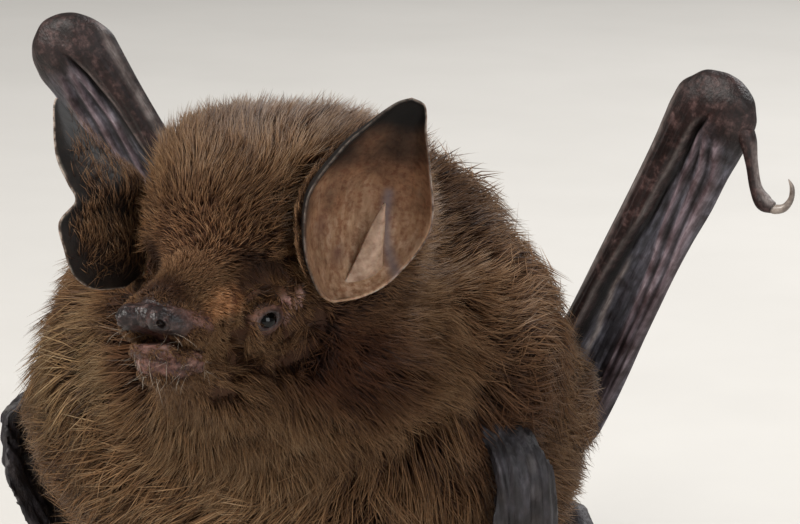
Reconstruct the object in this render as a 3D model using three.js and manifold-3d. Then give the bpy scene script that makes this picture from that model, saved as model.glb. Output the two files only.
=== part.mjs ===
// A small brown vesper bat, life size, resting on its belly with the chest reared up and both
// folded wings drawn up behind its back, wrists high. Millimetres, +Z up, the nose towards -Y and
// the bat's left towards +X. Every furred solid reaches out to the tips of its coat.
import * as THREE from 'three';
import { mergeVertices } from 'three/addons/utils/BufferGeometryUtils.js';
import Module from 'manifold-3d';

const wasm = await Module();
wasm.setup();

const vec = (x, y, z) => new THREE.Vector3(x, y, z);

// ---------------------------------------------------------------- driving dimensions
const gap = 0.3; // clearance between neighbouring pieces
const weldDistance = 1e-4;
const bodyWidth = 30; // trunk, out to the tips of the coat
const headWidth = 19; // crown, coat included
const muzzleReach = 12.5; // ear line to the nose
const earLength = 13.2;
const earHalfWidth = 4.4;
const earDepth = 3.9; // of the cup, from its rim
const eyeRadius = 0.72;
const nostrilRadius = 1;
const boneRadius = 0.5; // a finger bone in its skin, at the knuckle
const membraneThickness = 0.6;
const toeRadius = 0.42;
const clawLength = 1.9;

// Joints of the left side; the right side mirrors them in x.
const headCentre = vec(3.2, -12.5, 32.2); // between the bases of the ears
const headPitch = THREE.MathUtils.degToRad(-14); // nose up
const headRoll = THREE.MathUtils.degToRad(-3); // right ear a little lower
const headYaw = THREE.MathUtils.degToRad(-8); // nose towards the bat's right
const shoulder = vec(11.6, -0.6, 27);
const elbow = vec(7.6, 19.8, 16.2);
const wrist = vec(22, 13.6, 41.6);
const knuckleBase = vec(25.1, 13.2, 39.4); // where the hand's longest bone starts
const rightHandRise = 0.9; // the right hand is held a little higher
const fingerSpacing = 0.9; // of the long bones, at the wrist
const fingerEnds = [vec(11, 20.8, 14.4), vec(9.5, 21.4, 15.4), vec(8.3, 22, 16.8)];
const hip = vec(7, 14, 8);
const knee = vec(14.6, 9, 5.4);
const ankle = vec(14.2, 17.6, 2.6);
const tailRoot = vec(0, 23.4, 5);
const tailTip = vec(0, 44, 0.5);

const sideOf = { left: 1, right: -1 };
const mirrored = (point, side) => vec(point.x * side, point.y, point.z);
const raised = (point, side) => mirrored(point, side).add(vec(0, 0, side < 0 ? rightHandRise : 0));
const between = (a, b, t) => a.clone().lerp(b, t);

// ---------------------------------------------------------------- solids from geometries
// A mirrored geometry comes out inside out, so its triangles are turned.
function solidOf(geometry) {
  const bare = new THREE.BufferGeometry();
  bare.setAttribute('position', geometry.getAttribute('position').clone());
  if (geometry.index) bare.setIndex(geometry.index.clone());
  const merged = mergeVertices(bare, weldDistance);
  const triVerts = Uint32Array.from(merged.index.array);
  const make = () => new wasm.Manifold(
    new wasm.Mesh({ numProp: 3, vertProperties: merged.attributes.position.array, triVerts }),
  );
  const made = make();
  if (made.volume() > 0) return made;
  for (let i = 0; i < triVerts.length; i += 3) {
    [triVerts[i + 1], triVerts[i + 2]] = [triVerts[i + 2], triVerts[i + 1]];
  }
  return make();
}

function geometryOf(solid) {
  const { vertProperties, triVerts } = solid.getMesh();
  const geometry = new THREE.BufferGeometry();
  geometry.setAttribute('position', new THREE.BufferAttribute(vertProperties, 3));
  geometry.setIndex(new THREE.BufferAttribute(triVerts, 1));
  geometry.computeVertexNormals();
  return geometry;
}

// Cuts can leave crumbs: only the largest body is kept.
function largestBody(solid) {
  return solid.decompose().sort((a, b) => b.volume() - a.volume())[0];
}

function cutBy(solid, ...cutters) {
  return largestBody(cutters.reduce((left, cutter) => left.subtract(cutter), solid));
}

const joined = (...solids) => solids.reduce((all, solid) => all.add(solid));

// ---------------------------------------------------------------- rounded forms
// Near enough the distance from a point to an ellipsoid's surface, negative inside.
function ellipsoid(centre, radii) {
  return (point) => {
    const scaled = point.clone().sub(centre).divide(radii);
    const slope = scaled.clone().divide(radii).length();
    return slope < 1e-6 ? -radii.x : (scaled.length() * (scaled.length() - 1)) / slope;
  };
}

// Forms that flow into each other over the given width.
function flowed(width, ...fields) {
  return (point) => fields.map((field) => field(point)).reduce((a, b) => {
    const share = Math.max(width - Math.abs(a - b), 0) / width;
    return Math.min(a, b) - (share * share * width) / 4;
  });
}

// A sphere drawn onto a form, seen from its centre. crowd gathers the rings towards the pole.
function wrapped(centre, pole, field, { around = 24, along = 18, grow = 0, crowd = 1 } = {}) {
  const farthest = 40;
  const steps = 80;
  const turn = new THREE.Quaternion().setFromUnitVectors(vec(0, 1, 0), pole.clone().normalize());
  const geometry = new THREE.SphereGeometry(1, around, along);
  const places = geometry.getAttribute('position');
  for (let i = 0; i < places.count; i += 1) {
    const unit = vec().fromBufferAttribute(places, i);
    const polar = Math.PI * (Math.acos(THREE.MathUtils.clamp(unit.y, -1, 1)) / Math.PI) ** crowd;
    const ring = Math.hypot(unit.x, unit.z) || 1;
    const way = vec((unit.x / ring) * Math.sin(polar), Math.cos(polar), (unit.z / ring) * Math.sin(polar))
      .applyQuaternion(turn);
    let outer = farthest;
    let inner = farthest;
    for (let n = steps; n >= 0; n -= 1) {
      inner = (farthest * n) / steps;
      if (field(centre.clone().addScaledVector(way, inner)) < grow) break;
      outer = inner;
    }
    for (let n = 0; n < 16; n += 1) {
      const middle = (inner + outer) / 2;
      if (field(centre.clone().addScaledVector(way, middle)) < grow) inner = middle;
      else outer = middle;
    }
    const place = centre.clone().addScaledVector(way, (inner + outer) / 2);
    places.setXYZ(i, place.x, place.y, place.z);
  }
  return solidOf(geometry);
}

// Values spread evenly along a limb, with straight runs between them.
function along(values) {
  return (t) => {
    const place = THREE.MathUtils.clamp(t, 0, 1) * (values.length - 1);
    const index = Math.min(Math.floor(place), values.length - 2);
    return THREE.MathUtils.lerp(values[index], values[index + 1], place - index);
  };
}

// A limb is a sphere drawn out along a curve through its joints. halfWidths lie across the limb
// along the "across" direction, halfDepths at right angles to it.
function limb(joints, halfWidths, { halfDepths = halfWidths, across = vec(1, 0, 0), sides = 10, rings = 14,
  grow = 0, bluntness = 1.7 } = {}) {
  const curve = new THREE.CatmullRomCurve3(joints, false, 'centripetal');
  const widthAt = along(halfWidths);
  const depthAt = along(halfDepths);
  const geometry = new THREE.SphereGeometry(1, sides, rings);
  const places = geometry.getAttribute('position');
  for (let i = 0; i < places.count; i += 1) {
    const unit = vec().fromBufferAttribute(places, i);
    const t = (1 - unit.y) / 2;
    const ring = Math.hypot(unit.x, unit.z);
    const fullness = ring < 1e-6 ? 0 : Math.min(1, ring * bluntness) / ring;
    const tangent = curve.getTangent(t);
    const depthWay = vec().crossVectors(tangent, across).normalize();
    const widthWay = vec().crossVectors(depthWay, tangent).normalize();
    const place = curve.getPoint(t)
      .addScaledVector(widthWay, unit.x * fullness * (widthAt(t) + grow))
      .addScaledVector(depthWay, unit.z * fullness * (depthAt(t) + grow))
      .addScaledVector(tangent, -unit.y * Math.abs(unit.y) ** 8 * grow);
    places.setXYZ(i, place.x, place.y, place.z);
  }
  return solidOf(geometry);
}

// A sheet is a box of one layer drawn onto place(u, v, layer), with the layer -1 or 1.
function drawnSheet(across, down, place) {
  const geometry = new THREE.BoxGeometry(1, 1, 1, across, down, 1);
  const places = geometry.getAttribute('position');
  for (let i = 0; i < places.count; i += 1) {
    const made = place(places.getX(i) + 0.5, places.getY(i) + 0.5, Math.sign(places.getZ(i)));
    places.setXYZ(i, made.x, made.y, made.z);
  }
  return solidOf(geometry);
}

// A thin sheet lies along surface(u, v) with its thickness across it.
function sheet(surface, thickness, across, down) {
  const step = 1e-3;
  return drawnSheet(across, down, (u, v, layer) => {
    const alongU = surface(Math.min(u + step, 1), v).sub(surface(Math.max(u - step, 0), v));
    const alongV = surface(u, Math.min(v + step, 1)).sub(surface(u, Math.max(v - step, 0)));
    return surface(u, v).addScaledVector(alongU.cross(alongV).normalize(), (layer * thickness) / 2);
  });
}

const floorSlab = solidOf(new THREE.BoxGeometry(200, 200, 40).translate(0, 0, -20));
const onFloor = (solid) => largestBody(solid.subtract(floorSlab));

// ---------------------------------------------------------------- head, in its own turned frame
const headTurn = new THREE.Matrix4()
  .makeRotationFromEuler(new THREE.Euler(headPitch, headRoll, headYaw, 'ZYX'))
  .setPosition(headCentre);
const toBody = (solid) => solid.transform([...headTurn.elements]);
const noseCentre = vec(0, -muzzleReach, -2.1);
const mouthLevel = -3.5;
const jawDrop = 0.55; // how far the mouth stands open at the front

const headForm = flowed(
  2.6,
  ellipsoid(vec(0, 2.6, 3.8), vec(headWidth / 2 + 0.2, 9.6, 8.7)),
  ellipsoid(vec(4, 1.4, 5.6), vec(6.3, 7.4, 6.9)),
  ellipsoid(vec(-4, 1.4, 5.6), vec(6.3, 7.4, 6.9)),
  ellipsoid(vec(0, -3.2, 3.6), vec(6.6, 5, 5)),
  ellipsoid(vec(0, -1.2, -2.2), vec(7.4, 5.6, 4.6)),
  ellipsoid(vec(0, -7.6, -1.7), vec(3.1, 5, 2.5)),
);
const headBulk = (grow, around = 20, along = 17) => wrapped(
  vec(0, -2.5, 0.2),
  vec(0, -1, -0.16),
  headForm,
  { around, along, grow, crowd: 1.25 },
);

const eyeCentre = (side) => vec(side * 4.2, -5.6, -1.7);
function eyeBall(side, grow = 0) {
  const place = eyeCentre(side);
  return solidOf(new THREE.SphereGeometry(eyeRadius + grow, 10, 7).translate(place.x, place.y, place.z));
}

// The short coat opens in a small hollow around each eye.
function eyeHollow(side) {
  const place = eyeCentre(side).add(vec(side * 0.9, -0.45, 0));
  return solidOf(new THREE.SphereGeometry(1.25, 10, 7).translate(place.x, place.y, place.z));
}

// Each nostril is a short tube that flares out and points forwards and aside.
function nostril(side) {
  const length = 1.5;
  const bore = 0.5;
  const profile = [
    new THREE.Vector2(0, -length),
    new THREE.Vector2(nostrilRadius * 0.85, -length),
    new THREE.Vector2(nostrilRadius, -0.25),
    new THREE.Vector2(nostrilRadius * 0.8, 0.1),
    new THREE.Vector2(bore, 0),
    new THREE.Vector2(bore * 0.7, -0.6),
    new THREE.Vector2(0, -0.7),
  ];
  const way = vec(side * 0.75, -1, -0.22).normalize();
  const place = noseCentre.clone().add(vec(side * 1.15, -0.3, 0));
  const tube = new THREE.LatheGeometry(profile, 10);
  tube.applyQuaternion(new THREE.Quaternion().setFromUnitVectors(vec(0, 1, 0), way));
  return solidOf(tube.translate(place.x, place.y, place.z));
}

// The open mouth is a thin wedge with its edge at the corners.
function mouthWedge() {
  const corner = -6.2;
  const outline = new THREE.Shape([
    new THREE.Vector2(corner, 0.06),
    new THREE.Vector2(-20, jawDrop * 1.5),
    new THREE.Vector2(-20, -jawDrop * 1.5),
    new THREE.Vector2(corner, -0.3),
  ]);
  const wedge = new THREE.ExtrudeGeometry(outline, { depth: 20, bevelEnabled: false });
  wedge.translate(0, 0, -10);
  wedge.applyMatrix4(new THREE.Matrix4().makeBasis(vec(0, 1, 0), vec(0, 0, 1), vec(1, 0, 0)));
  return solidOf(wedge.translate(0, 0, mouthLevel));
}

const jawForm = flowed(
  1.6,
  ellipsoid(vec(0, -7, -5), vec(2.6, 4.3, 1.5)),
  ellipsoid(vec(0, -2.6, -6), vec(5.4, 4.6, 3)),
);
const jawBulk = (grow, around = 12, along = 9) => wrapped(
  vec(0, -5.2, -5.2),
  vec(0, -1, 0),
  jawForm,
  { around, along, grow },
);

// An ear is a deep spoon with an egg-shaped rim: widest a third of the way up, with a blunt tip
// set towards its inner margin and a lobe that flares forwards low on its outer margin. The
// right one is a little shorter and leans outwards.
function earAxes(side) {
  const facing = vec(side * 0.85, -0.53, 0);
  const rise = vec(side * 0.33, -0.228, 0.912).normalize();
  const across = vec().crossVectors(facing, rise).multiplyScalar(side).normalize(); // towards the outer margin
  return { rise, across, opening: vec().crossVectors(rise, across).multiplyScalar(side).normalize() };
}
const earRoot = (side) => vec(side * 8.2, -2.9, 0);

function earSurface(side) {
  const { rise, across, opening } = earAxes(side);
  const width = along([0.2, 0.7, 0.93, 1, 0.97, 0.8, 0.63, 0.4, 0.12]);
  const centre = along([0, 0, 0, 0, 0, -0.02, -0.05, -0.1, -0.18]);
  const lean = along(side > 0 ? [0, 0, 0] : [0, 0, 0, 0.2, 1.1, 1.4, 1.2, 0.9, 0.6]);
  const length = side > 0 ? earLength : earLength - 0.7;
  const depth = along([0.15, 0.72, 0.97, 1, 0.83, 0.57, 0.33, 0.15, 0.04]);
  const flare = along(side > 0 ? [0.2, 1, 1, 0.7, 0.25, 0, 0, 0, 0] : [0.7, 1.4, 1.5, 1.2, 0.2, 0, 0, 0, 0]);
  return (u, v) => {
    const angle = (u - 0.5) * 2 * 1.48;
    const outer = Math.max(0, Math.sin(angle));
    return earRoot(side)
      .addScaledVector(rise, v * length)
      .addScaledVector(across, (Math.sin(angle) * width(v) + centre(v)) * earHalfWidth)
      .addScaledVector(opening, 1.9 * flare(v) * outer ** 2 - Math.cos(angle) * depth(v) * earDepth + lean(v));
  };
}
const earLeaf = (side, grow = 0) => sheet(earSurface(side), membraneThickness + 2 * grow, 7, 9);

// The space in the cup and in front of it, kept clear of fur.
function earScoop(side) {
  const { opening } = earAxes(side);
  const surface = earSurface(side);
  return drawnSheet(7, 9, (u, v, layer) => surface(u, v).addScaledVector(opening, layer > 0 ? 9 : 0.05));
}

// The tragus is the slim pale blade that stands inside the ear.
function tragus(side, grow = 0) {
  const { rise, across, opening } = earAxes(side);
  const at = (up, out, inward) => earRoot(side).addScaledVector(rise, up).addScaledVector(across, out)
    .addScaledVector(opening, -inward);
  return limb([at(0.9, -0.7, 1), at(3.2, -1.1, 1.2), at(5.8, -1.6, 1.2)], [0.85, 0.9, 0.6, 0.15], {
    halfDepths: [0.3, 0.3, 0.28, 0.25], across, sides: 6, rings: 6, grow,
  });
}

// ---------------------------------------------------------------- trunk and neck
const trunkForm = flowed(
  6,
  ellipsoid(vec(0, -4.5, 22), vec(bodyWidth / 2, 12.6, 13)),
  ellipsoid(vec(1.9, 1.4, 29.4), vec(14.2, 12.4, 13)),
  ellipsoid(vec(-9, -6.5, 23), vec(7.4, 7.6, 8)),
  ellipsoid(vec(7.2, -7, 23), vec(7, 7.4, 8)),
  ellipsoid(vec(9.6, 6, 18), vec(8.2, 8.5, 9)),
  ellipsoid(vec(-9.6, 6, 18), vec(8.2, 8.5, 9)),
  ellipsoid(vec(0, -2.5, 11), vec(10.5, 10, 11.8)),
  ellipsoid(vec(0, 5, 13), vec(13.6, 13, 13.9)),
  ellipsoid(vec(0, 14.5, 8.6), vec(10, 10.5, 9.2)),
);
const trunkCentre = vec(0, 3, 17);
const trunkBulk = (grow) => wrapped(trunkCentre, vec(0, -1, 1), trunkForm, { around: 18, along: 14, grow });
const neckCentre = vec(1.4, -8.6, 27);
const neckForm = ellipsoid(neckCentre, vec(13.6, 10.4, 10));
const neckBulk = (grow) => wrapped(neckCentre, vec(0, -1, 0.3), neckForm, { around: 14, along: 9, grow });

// ---------------------------------------------------------------- wings
const wingJoints = (side) => ({
  elbow: mirrored(elbow, side),
  wrist: raised(wrist, side),
  base: raised(knuckleBase, side),
});

// Shoulder and upper arm are one furred lump that tapers back to the elbow.
function upperArm(side, grow = 0) {
  const form = flowed(
    4,
    side > 0 ? ellipsoid(shoulder.clone().add(vec(0.4, 0, 0.6)), vec(7.6, 7.8, 8.8)) // raised in the pose
      : ellipsoid(mirrored(shoulder, side), vec(6.6, 7.2, 7.2)),
    ellipsoid(vec(side * 12.2, 7, 21), vec(6, 8, 7.4)),
    ellipsoid(vec(side * 10.2, 15, 18), vec(3.8, 6, 4.2)),
  );
  return wrapped(vec(side * 11.8, 4, 23.4), vec(0, 1, -0.4), form, { around: 11, along: 9, grow });
}

function forearm(side, grow = 0) {
  const { elbow: low, wrist: top } = wingJoints(side);
  const bow = vec(side * 0.2, -0.2, 0);
  return limb([low, between(low, top, 0.45).add(bow), top], [1.3, 1.15, 0.85, 0.9, 1.2, 1.6], {
    halfDepths: [1.3, 1.4, 1.1, 1, 1.1, 1.5], sides: 8, rings: 12, grow,
  });
}

// The wrist is the round knob where the folded hand turns back over the forearm.
function wristKnob(side, grow = 0) {
  const { wrist: inner, base: outer } = wingJoints(side);
  const crown = between(inner, outer, 0.45).add(vec(side * 0.2, 0, 0.9));
  return limb([inner.clone().add(vec(side * -0.3, 0.2, -0.6)), crown, outer.clone().add(vec(side * 0.3, 0, -0.2))],
    [1.5, 2.2, 2.3, 1.9], { halfDepths: [1.5, 1.7, 1.7, 1.4], across: vec(0, 0, 1), sides: 10, rings: 10, grow });
}

// Long bones of the hand: the third finger's lies outermost, the fifth's beside the forearm.
function fingerLine(side, index, t) {
  const start = raised(knuckleBase, side).add(vec(-side * fingerSpacing * index, 0.1 * index, 0));
  const bow = 4 * t * (1 - t);
  return between(start, mirrored(fingerEnds[index], side), t).add(vec(side * 0.35 * bow, -0.1 * bow, 0));
}

function finger(side, index, grow = 0) {
  const joints = [0, 0.33, 0.66, 1].map((t) => fingerLine(side, index, t));
  const beyond = fingerLine(side, index, 1).add(vec(side * 0.3, -2, -2));
  const r = boneRadius;
  return limb([...joints, beyond], [r * 0.6, r * 0.65, r * 0.8, r * 0.9, r * 1.1, r * 0.9], { sides: 6, rings: 9, grow });
}

// The skin of the hand lies in pleats behind its bones, from the third finger to the forearm.
function handMembrane(side, grow = 0) {
  const strips = 3;
  const behind = 1.1;
  const lines = [0, 1, 2].map((index) => (t) => fingerLine(side, index, t));
  const { elbow: low, wrist: top } = wingJoints(side);
  lines.push((t) => between(top, low, t).add(vec(side * 0.4, 0.9, 0)));
  const surface = (u, v) => {
    const place = u * strips;
    const index = Math.min(Math.floor(place), strips - 1);
    const down = 0.04 + 0.9 * v;
    const fold = Math.sin((place - index) * Math.PI);
    return between(lines[index](down), lines[index + 1](down), place - index)
      .add(vec(0, behind + fold * (0.3 + 0.5 * v), 0));
  };
  return sheet(surface, membraneThickness + 2 * grow, 9, 5);
}

// The left thumb hangs outside the wrist; the right one lies back behind the hand.
function thumbCurve(side) {
  const root = raised(knuckleBase, side).add(side > 0 ? vec(1, -0.5, -0.2) : vec(-0.2, 1.9, -1.2));
  const [out, back] = side > 0 ? [1, -0.3] : [-0.15, 0.8];
  const way = (reach, drop) => root.clone().add(vec(out * reach, back * reach, -drop));
  return [root, way(0.3, 1.35), way(0.65, 2.7), way(1.4, 3.85)];
}

const thumb = (side, grow = 0) => limb(thumbCurve(side), [0.62, 0.5, 0.5, 0.66, 0.6], { sides: 8, rings: 8, grow });

function thumbClaw(side, grow = 0) {
  const root = thumbCurve(side)[3];
  const [out, back] = side > 0 ? [1, 0] : [-0.3, 1];
  const way = (reach, rise) => root.clone().add(vec(out * reach, back * reach, rise));
  return limb([way(-0.2, 0.15), way(0.8, -0.4), way(1.65, -0.05), way(2.1, 0.75), way(2, 1.7)],
    [0.5, 0.45, 0.34, 0.26, 0.25], { halfDepths: [0.36, 0.34, 0.3, 0.26, 0.25], sides: 6, rings: 10, grow });
}

// The tips of the folded fingers hang in one slim bundle beside the rump.
function wingTip(side, grow = 0) {
  const root = mirrored(fingerEnds[1], side).add(vec(side * 1.2, -3, -3.6));
  const way = (out, back, drop) => root.clone().add(vec(side * out, back, -drop));
  return limb([root, way(2.6, -1.6, 3), way(5, -1.4, 6), way(6.6, 1.6, 8.6)],
    [2, 1.9, 1.4, 0.5], { halfDepths: [1.3, 1.2, 0.9, 0.4], sides: 8, rings: 9, grow });
}

// The flank membrane is gathered into a pleated band from the armpit down to the ankle. The right
// one stands out from the fur in a loop.
const flankCurves = {
  left: [vec(14.6, -5.2, 27.6), vec(16.9, -4.8, 24.6), vec(17.6, -4.2, 20.4), vec(17.4, -3.8, 15.6),
    vec(17, -1.4, 11), vec(17.8, 4.6, 6.4), vec(18, 10.6, 3.6), vec(16.4, 15.2, 2.2)],
  right: [vec(-15, 0.6, 26), vec(-18.2, -1.4, 23), vec(-19.6, -4, 19.4), vec(-17.4, -5, 15.4),
    vec(-16.2, -2.6, 11), vec(-17.6, 4.6, 6.4), vec(-18, 10.6, 3.6), vec(-16.4, 15.2, 2.2)],
};

function flankMembrane(side, grow = 0) {
  const curve = new THREE.CatmullRomCurve3(side > 0 ? flankCurves.left : flankCurves.right);
  const halfWidth = along([0.7, 1.6, 2.3, 2.6, 2.8, 2.6]);
  const way = side > 0 ? vec(0.55, 0.8, 0.1).normalize() : vec(-0.1, 1, 0.2).normalize();
  const surface = (u, v) => {
    const pleat = 0.3 * Math.sin(u * 3.5 * 2 * Math.PI);
    return curve.getPoint(v)
      .addScaledVector(way, (u - 0.5) * 2 * halfWidth(v))
      .addScaledVector(vec(side, 0, 0), pleat + 0.7 * Math.sin(u * Math.PI));
  };
  return sheet(surface, 1 + 2 * grow, 9, 8);
}

// ---------------------------------------------------------------- legs, feet and tail
const thigh = (side, grow = 0) => limb([mirrored(hip, side), mirrored(knee, side)], [4.6, 4.2, 3.4, 2.6], {
  sides: 10, rings: 8, grow,
});

const shank = (side, grow = 0) => limb([mirrored(knee, side).add(vec(side * 0.8, 0.8, -1.2)), mirrored(ankle, side)],
  [1.7, 1.3, 0.9, 0.85], { sides: 8, rings: 7, grow });

// The foot lies flat with five toes, each with its claw hooked down to the floor.
function foot(side, grow = 0) {
  const heel = mirrored(ankle, side).add(vec(side * 0.3, 0.6, -0.7));
  const toeCount = 5;
  const sole = limb([heel, heel.clone().add(vec(side * 1.5, 2.8, -0.75))], [0.95, 1.25, 1.5], {
    halfDepths: [0.9, 0.75, 0.6], sides: 8, rings: 6, grow,
  });
  const parts = [sole];
  for (let n = 0; n < toeCount; n += 1) {
    const fan = (n - (toeCount - 1) / 2) * 0.2;
    const way = vec(side * Math.sin(0.5 + fan), Math.cos(0.5 + fan), 0);
    const from = heel.clone().add(vec(side * 1.4, 2.6, 0)).addScaledVector(vec(way.y, -way.x, 0), fan * side * 5);
    const at = (reach, height) => vec(from.x, from.y, height).addScaledVector(way, reach);
    const r = toeRadius + grow;
    parts.push(limb([at(-0.6, 0.9), at(0.9, 0.85), at(2.3, 0.36)], [r, r * 1.1, r], { sides: 5, rings: 4 }));
    parts.push(limb([at(2.1, 0.5), at(2.1 + clawLength * 0.5, 0.75), at(2.1 + clawLength, 0.08)],
      [0.34 + grow, 0.3 + grow, 0.1 + grow], { sides: 4, rings: 3 }));
  }
  return joined(...parts);
}

const tail = (grow = 0) => limb([tailRoot, between(tailRoot, tailTip, 0.3).add(vec(0, 0, -1.6)),
  between(tailRoot, tailTip, 0.65).add(vec(0, 0, -1.4)), tailTip], [2.2, 1.2, 0.9, 0.8, 0.6], { sides: 8, rings: 10, grow });

// The tail membrane spans from ankle to ankle, out to the tip of the tail, in soft ripples.
function tailMembrane(side, grow = 0) {
  const outer = mirrored(ankle, side).add(vec(side * 0.2, 0.2, -1.6));
  const spur = vec(side * 10.2, 30.5, 0.25); // where the heel's spur ends on the free edge
  const edge = new THREE.CatmullRomCurve3([outer, vec(side * 13.4, 24, 0.25), spur, vec(side * 4.6, 38.2, 0.25),
    vec(side * 0.4, 43, 0.3)]);
  const inner = (t) => vec(side * 0.4, THREE.MathUtils.lerp(21.5, 42.4, t), THREE.MathUtils.lerp(1.6, 0.3, Math.min(1, 2.5 * t)));
  const surface = (u, v) => between(inner(v), edge.getPoint(v), 0.02 + 0.98 * u)
    .add(vec(0, 0, 0.42 * Math.sin(u * 2.5 * Math.PI) ** 2 * (1 - v)));
  return sheet(surface, membraneThickness + 2 * grow, 6, 7);
}

// ---------------------------------------------------------------- materials
const finish = (color, roughness) => new THREE.MeshStandardMaterial({ color, roughness, metalness: 0 });
const fur = finish(0x6b4a30, 0.9);
const bareSkin = finish(0x6e4a44, 0.55);
const earSkin = finish(0x6a4a38, 0.6);
const palePink = finish(0xb09a8c, 0.5);
const wingSkin = finish(0x4a3c3a, 0.55);
const horn = finish(0x8a8378, 0.35);
const eyeBlack = finish(0x0a0808, 0.05);

// ---------------------------------------------------------------- assembly
const bat = new THREE.Group();
const headGroup = new THREE.Group();
headGroup.position.copy(headCentre);
headGroup.rotation.set(headPitch, headRoll, headYaw, 'ZYX');
bat.add(headGroup);

function addPiece(group, name, solid, material) {
  const mesh = new THREE.Mesh(geometryOf(solid), material);
  mesh.name = name;
  group.add(mesh);
}

const wedge = mouthWedge();
const bothSides = (make) => Object.values(sideOf).map((side) => make(side));
const eyeSockets = bothSides((side) => joined(eyeBall(side, gap / 2), eyeHollow(side)));
const upperHead = cutBy(joined(headBulk(0), ...bothSides(nostril)), jawBulk(gap), wedge, ...eyeSockets);
const earCutters = bothSides((side) => joined(earLeaf(side, gap), earScoop(side)));
addPiece(headGroup, 'head', cutBy(upperHead, ...earCutters), fur);
addPiece(headGroup, 'lower_jaw', cutBy(jawBulk(0), wedge), fur);
const coarseGap = 0.75; // coarse cutters stand a little farther off
const headCutter = toBody(joined(headBulk(coarseGap, 12, 10), jawBulk(gap),
  ...bothSides((side) => earLeaf(side, gap))));

const legCutters = bothSides((side) => joined(thigh(side, gap), shank(side, gap)));
const armCutters = bothSides((side) => upperArm(side, gap));
const tailCutter = tail(gap);
const trunkGrown = trunkBulk(gap);
const neck = cutBy(neckBulk(0), headCutter, ...armCutters);
addPiece(bat, 'neck', neck, fur);
addPiece(bat, 'trunk', onFloor(cutBy(trunkBulk(0), neckBulk(gap), headCutter, ...armCutters, ...legCutters, tailCutter)), fur);
addPiece(bat, 'tail', onFloor(tail()), wingSkin);

for (const [word, side] of Object.entries(sideOf)) {
  const arm = joined(upperArm(side, gap), forearm(side, gap));
  const hand = joined(wristKnob(side, gap), forearm(side, gap));
  const leg = joined(thigh(side, gap), shank(side, gap));
  const fingers = joined(...fingerEnds.map((_, index) => finger(side, index, gap)));
  addPiece(headGroup, `ear_${word}`, earLeaf(side), earSkin);
  addPiece(headGroup, `tragus_${word}`, tragus(side), palePink);
  addPiece(headGroup, `eye_${word}`, eyeBall(side), eyeBlack);
  addPiece(bat, `upper_arm_${word}`, cutBy(upperArm(side), headCutter, forearm(side, gap)), fur);
  addPiece(bat, `forearm_${word}`, cutBy(forearm(side), trunkGrown), wingSkin);
  addPiece(bat, `wrist_${word}`, cutBy(wristKnob(side), forearm(side, gap)), bareSkin);
  fingerEnds.forEach((_, index) => {
    addPiece(bat, `finger_${index + 3}_${word}`, cutBy(finger(side, index), hand, trunkGrown, upperArm(side, gap)), wingSkin);
  });
  addPiece(bat, `hand_membrane_${word}`, cutBy(handMembrane(side), hand, trunkGrown, upperArm(side, gap), fingers), wingSkin);
  addPiece(bat, `thumb_${word}`, cutBy(thumb(side), wristKnob(side, gap), fingers), bareSkin);
  addPiece(bat, `thumb_claw_${word}`, cutBy(thumbClaw(side), thumb(side, gap)), horn);
  addPiece(bat, `wing_tip_${word}`, onFloor(cutBy(wingTip(side), trunkGrown, arm, leg, fingers)), wingSkin);
  addPiece(bat, `thigh_${word}`, onFloor(cutBy(thigh(side), shank(side, gap), tailCutter)), fur);
  addPiece(bat, `shank_${word}`, onFloor(shank(side)), wingSkin);
  addPiece(bat, `foot_${word}`, onFloor(cutBy(foot(side), shank(side, gap))), bareSkin);
  addPiece(bat, `flank_membrane_${word}`,
    onFloor(cutBy(flankMembrane(side), trunkGrown, arm, neckBulk(gap), leg, wingTip(side, gap))), wingSkin);
  addPiece(bat, `tail_membrane_${word}`,
    onFloor(cutBy(tailMembrane(side), tailCutter, trunkGrown, shank(side, gap), foot(side, gap))), wingSkin);
}

// The origin is the middle of the model's footprint on the floor.
const reach = new THREE.Box3().setFromObject(bat, true);
const centre = reach.getCenter(vec());
bat.position.set(-centre.x, -centre.y, -reach.min.z);

export default bat;
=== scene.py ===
import math

import bmesh
import bpy
import numpy as np
from mathutils import Matrix, Vector
from mathutils.bvhtree import BVHTree
from mathutils.kdtree import KDTree


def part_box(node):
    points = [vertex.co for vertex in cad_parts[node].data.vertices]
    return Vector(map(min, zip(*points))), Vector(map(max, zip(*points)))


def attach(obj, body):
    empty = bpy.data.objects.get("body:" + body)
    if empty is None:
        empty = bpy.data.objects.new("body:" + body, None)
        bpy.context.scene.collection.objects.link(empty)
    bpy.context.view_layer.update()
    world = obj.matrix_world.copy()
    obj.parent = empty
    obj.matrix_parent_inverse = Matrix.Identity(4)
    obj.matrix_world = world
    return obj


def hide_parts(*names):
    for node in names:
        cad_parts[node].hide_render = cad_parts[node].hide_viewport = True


mm = 0.001

print("stage: frame")
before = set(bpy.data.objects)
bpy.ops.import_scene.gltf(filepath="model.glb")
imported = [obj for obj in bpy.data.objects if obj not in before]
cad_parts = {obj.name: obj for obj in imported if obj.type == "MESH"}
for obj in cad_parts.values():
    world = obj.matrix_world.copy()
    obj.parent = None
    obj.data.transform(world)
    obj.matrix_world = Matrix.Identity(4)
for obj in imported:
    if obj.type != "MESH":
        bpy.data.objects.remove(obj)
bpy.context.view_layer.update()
seed = np.random.default_rng(20)

# mm in the solids' own frame, and degrees
headPlace = dict(centre=(1.6426, -21.5442, 32.2), pitch=-14, roll=-3, yaw=-8)
headTurn = np.array(
    Matrix.Rotation(math.radians(headPlace["yaw"]), 3, "Z")
    @ Matrix.Rotation(math.radians(headPlace["roll"]), 3, "Y")
    @ Matrix.Rotation(math.radians(headPlace["pitch"]), 3, "X")
)
sideWords = {1: "Left", -1: "Right"}


def toHead(points):  # metres in the solids' frame to millimetres in the head's own
    return (np.asarray(points) / mm - np.array(headPlace["centre"])) @ headTurn


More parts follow.
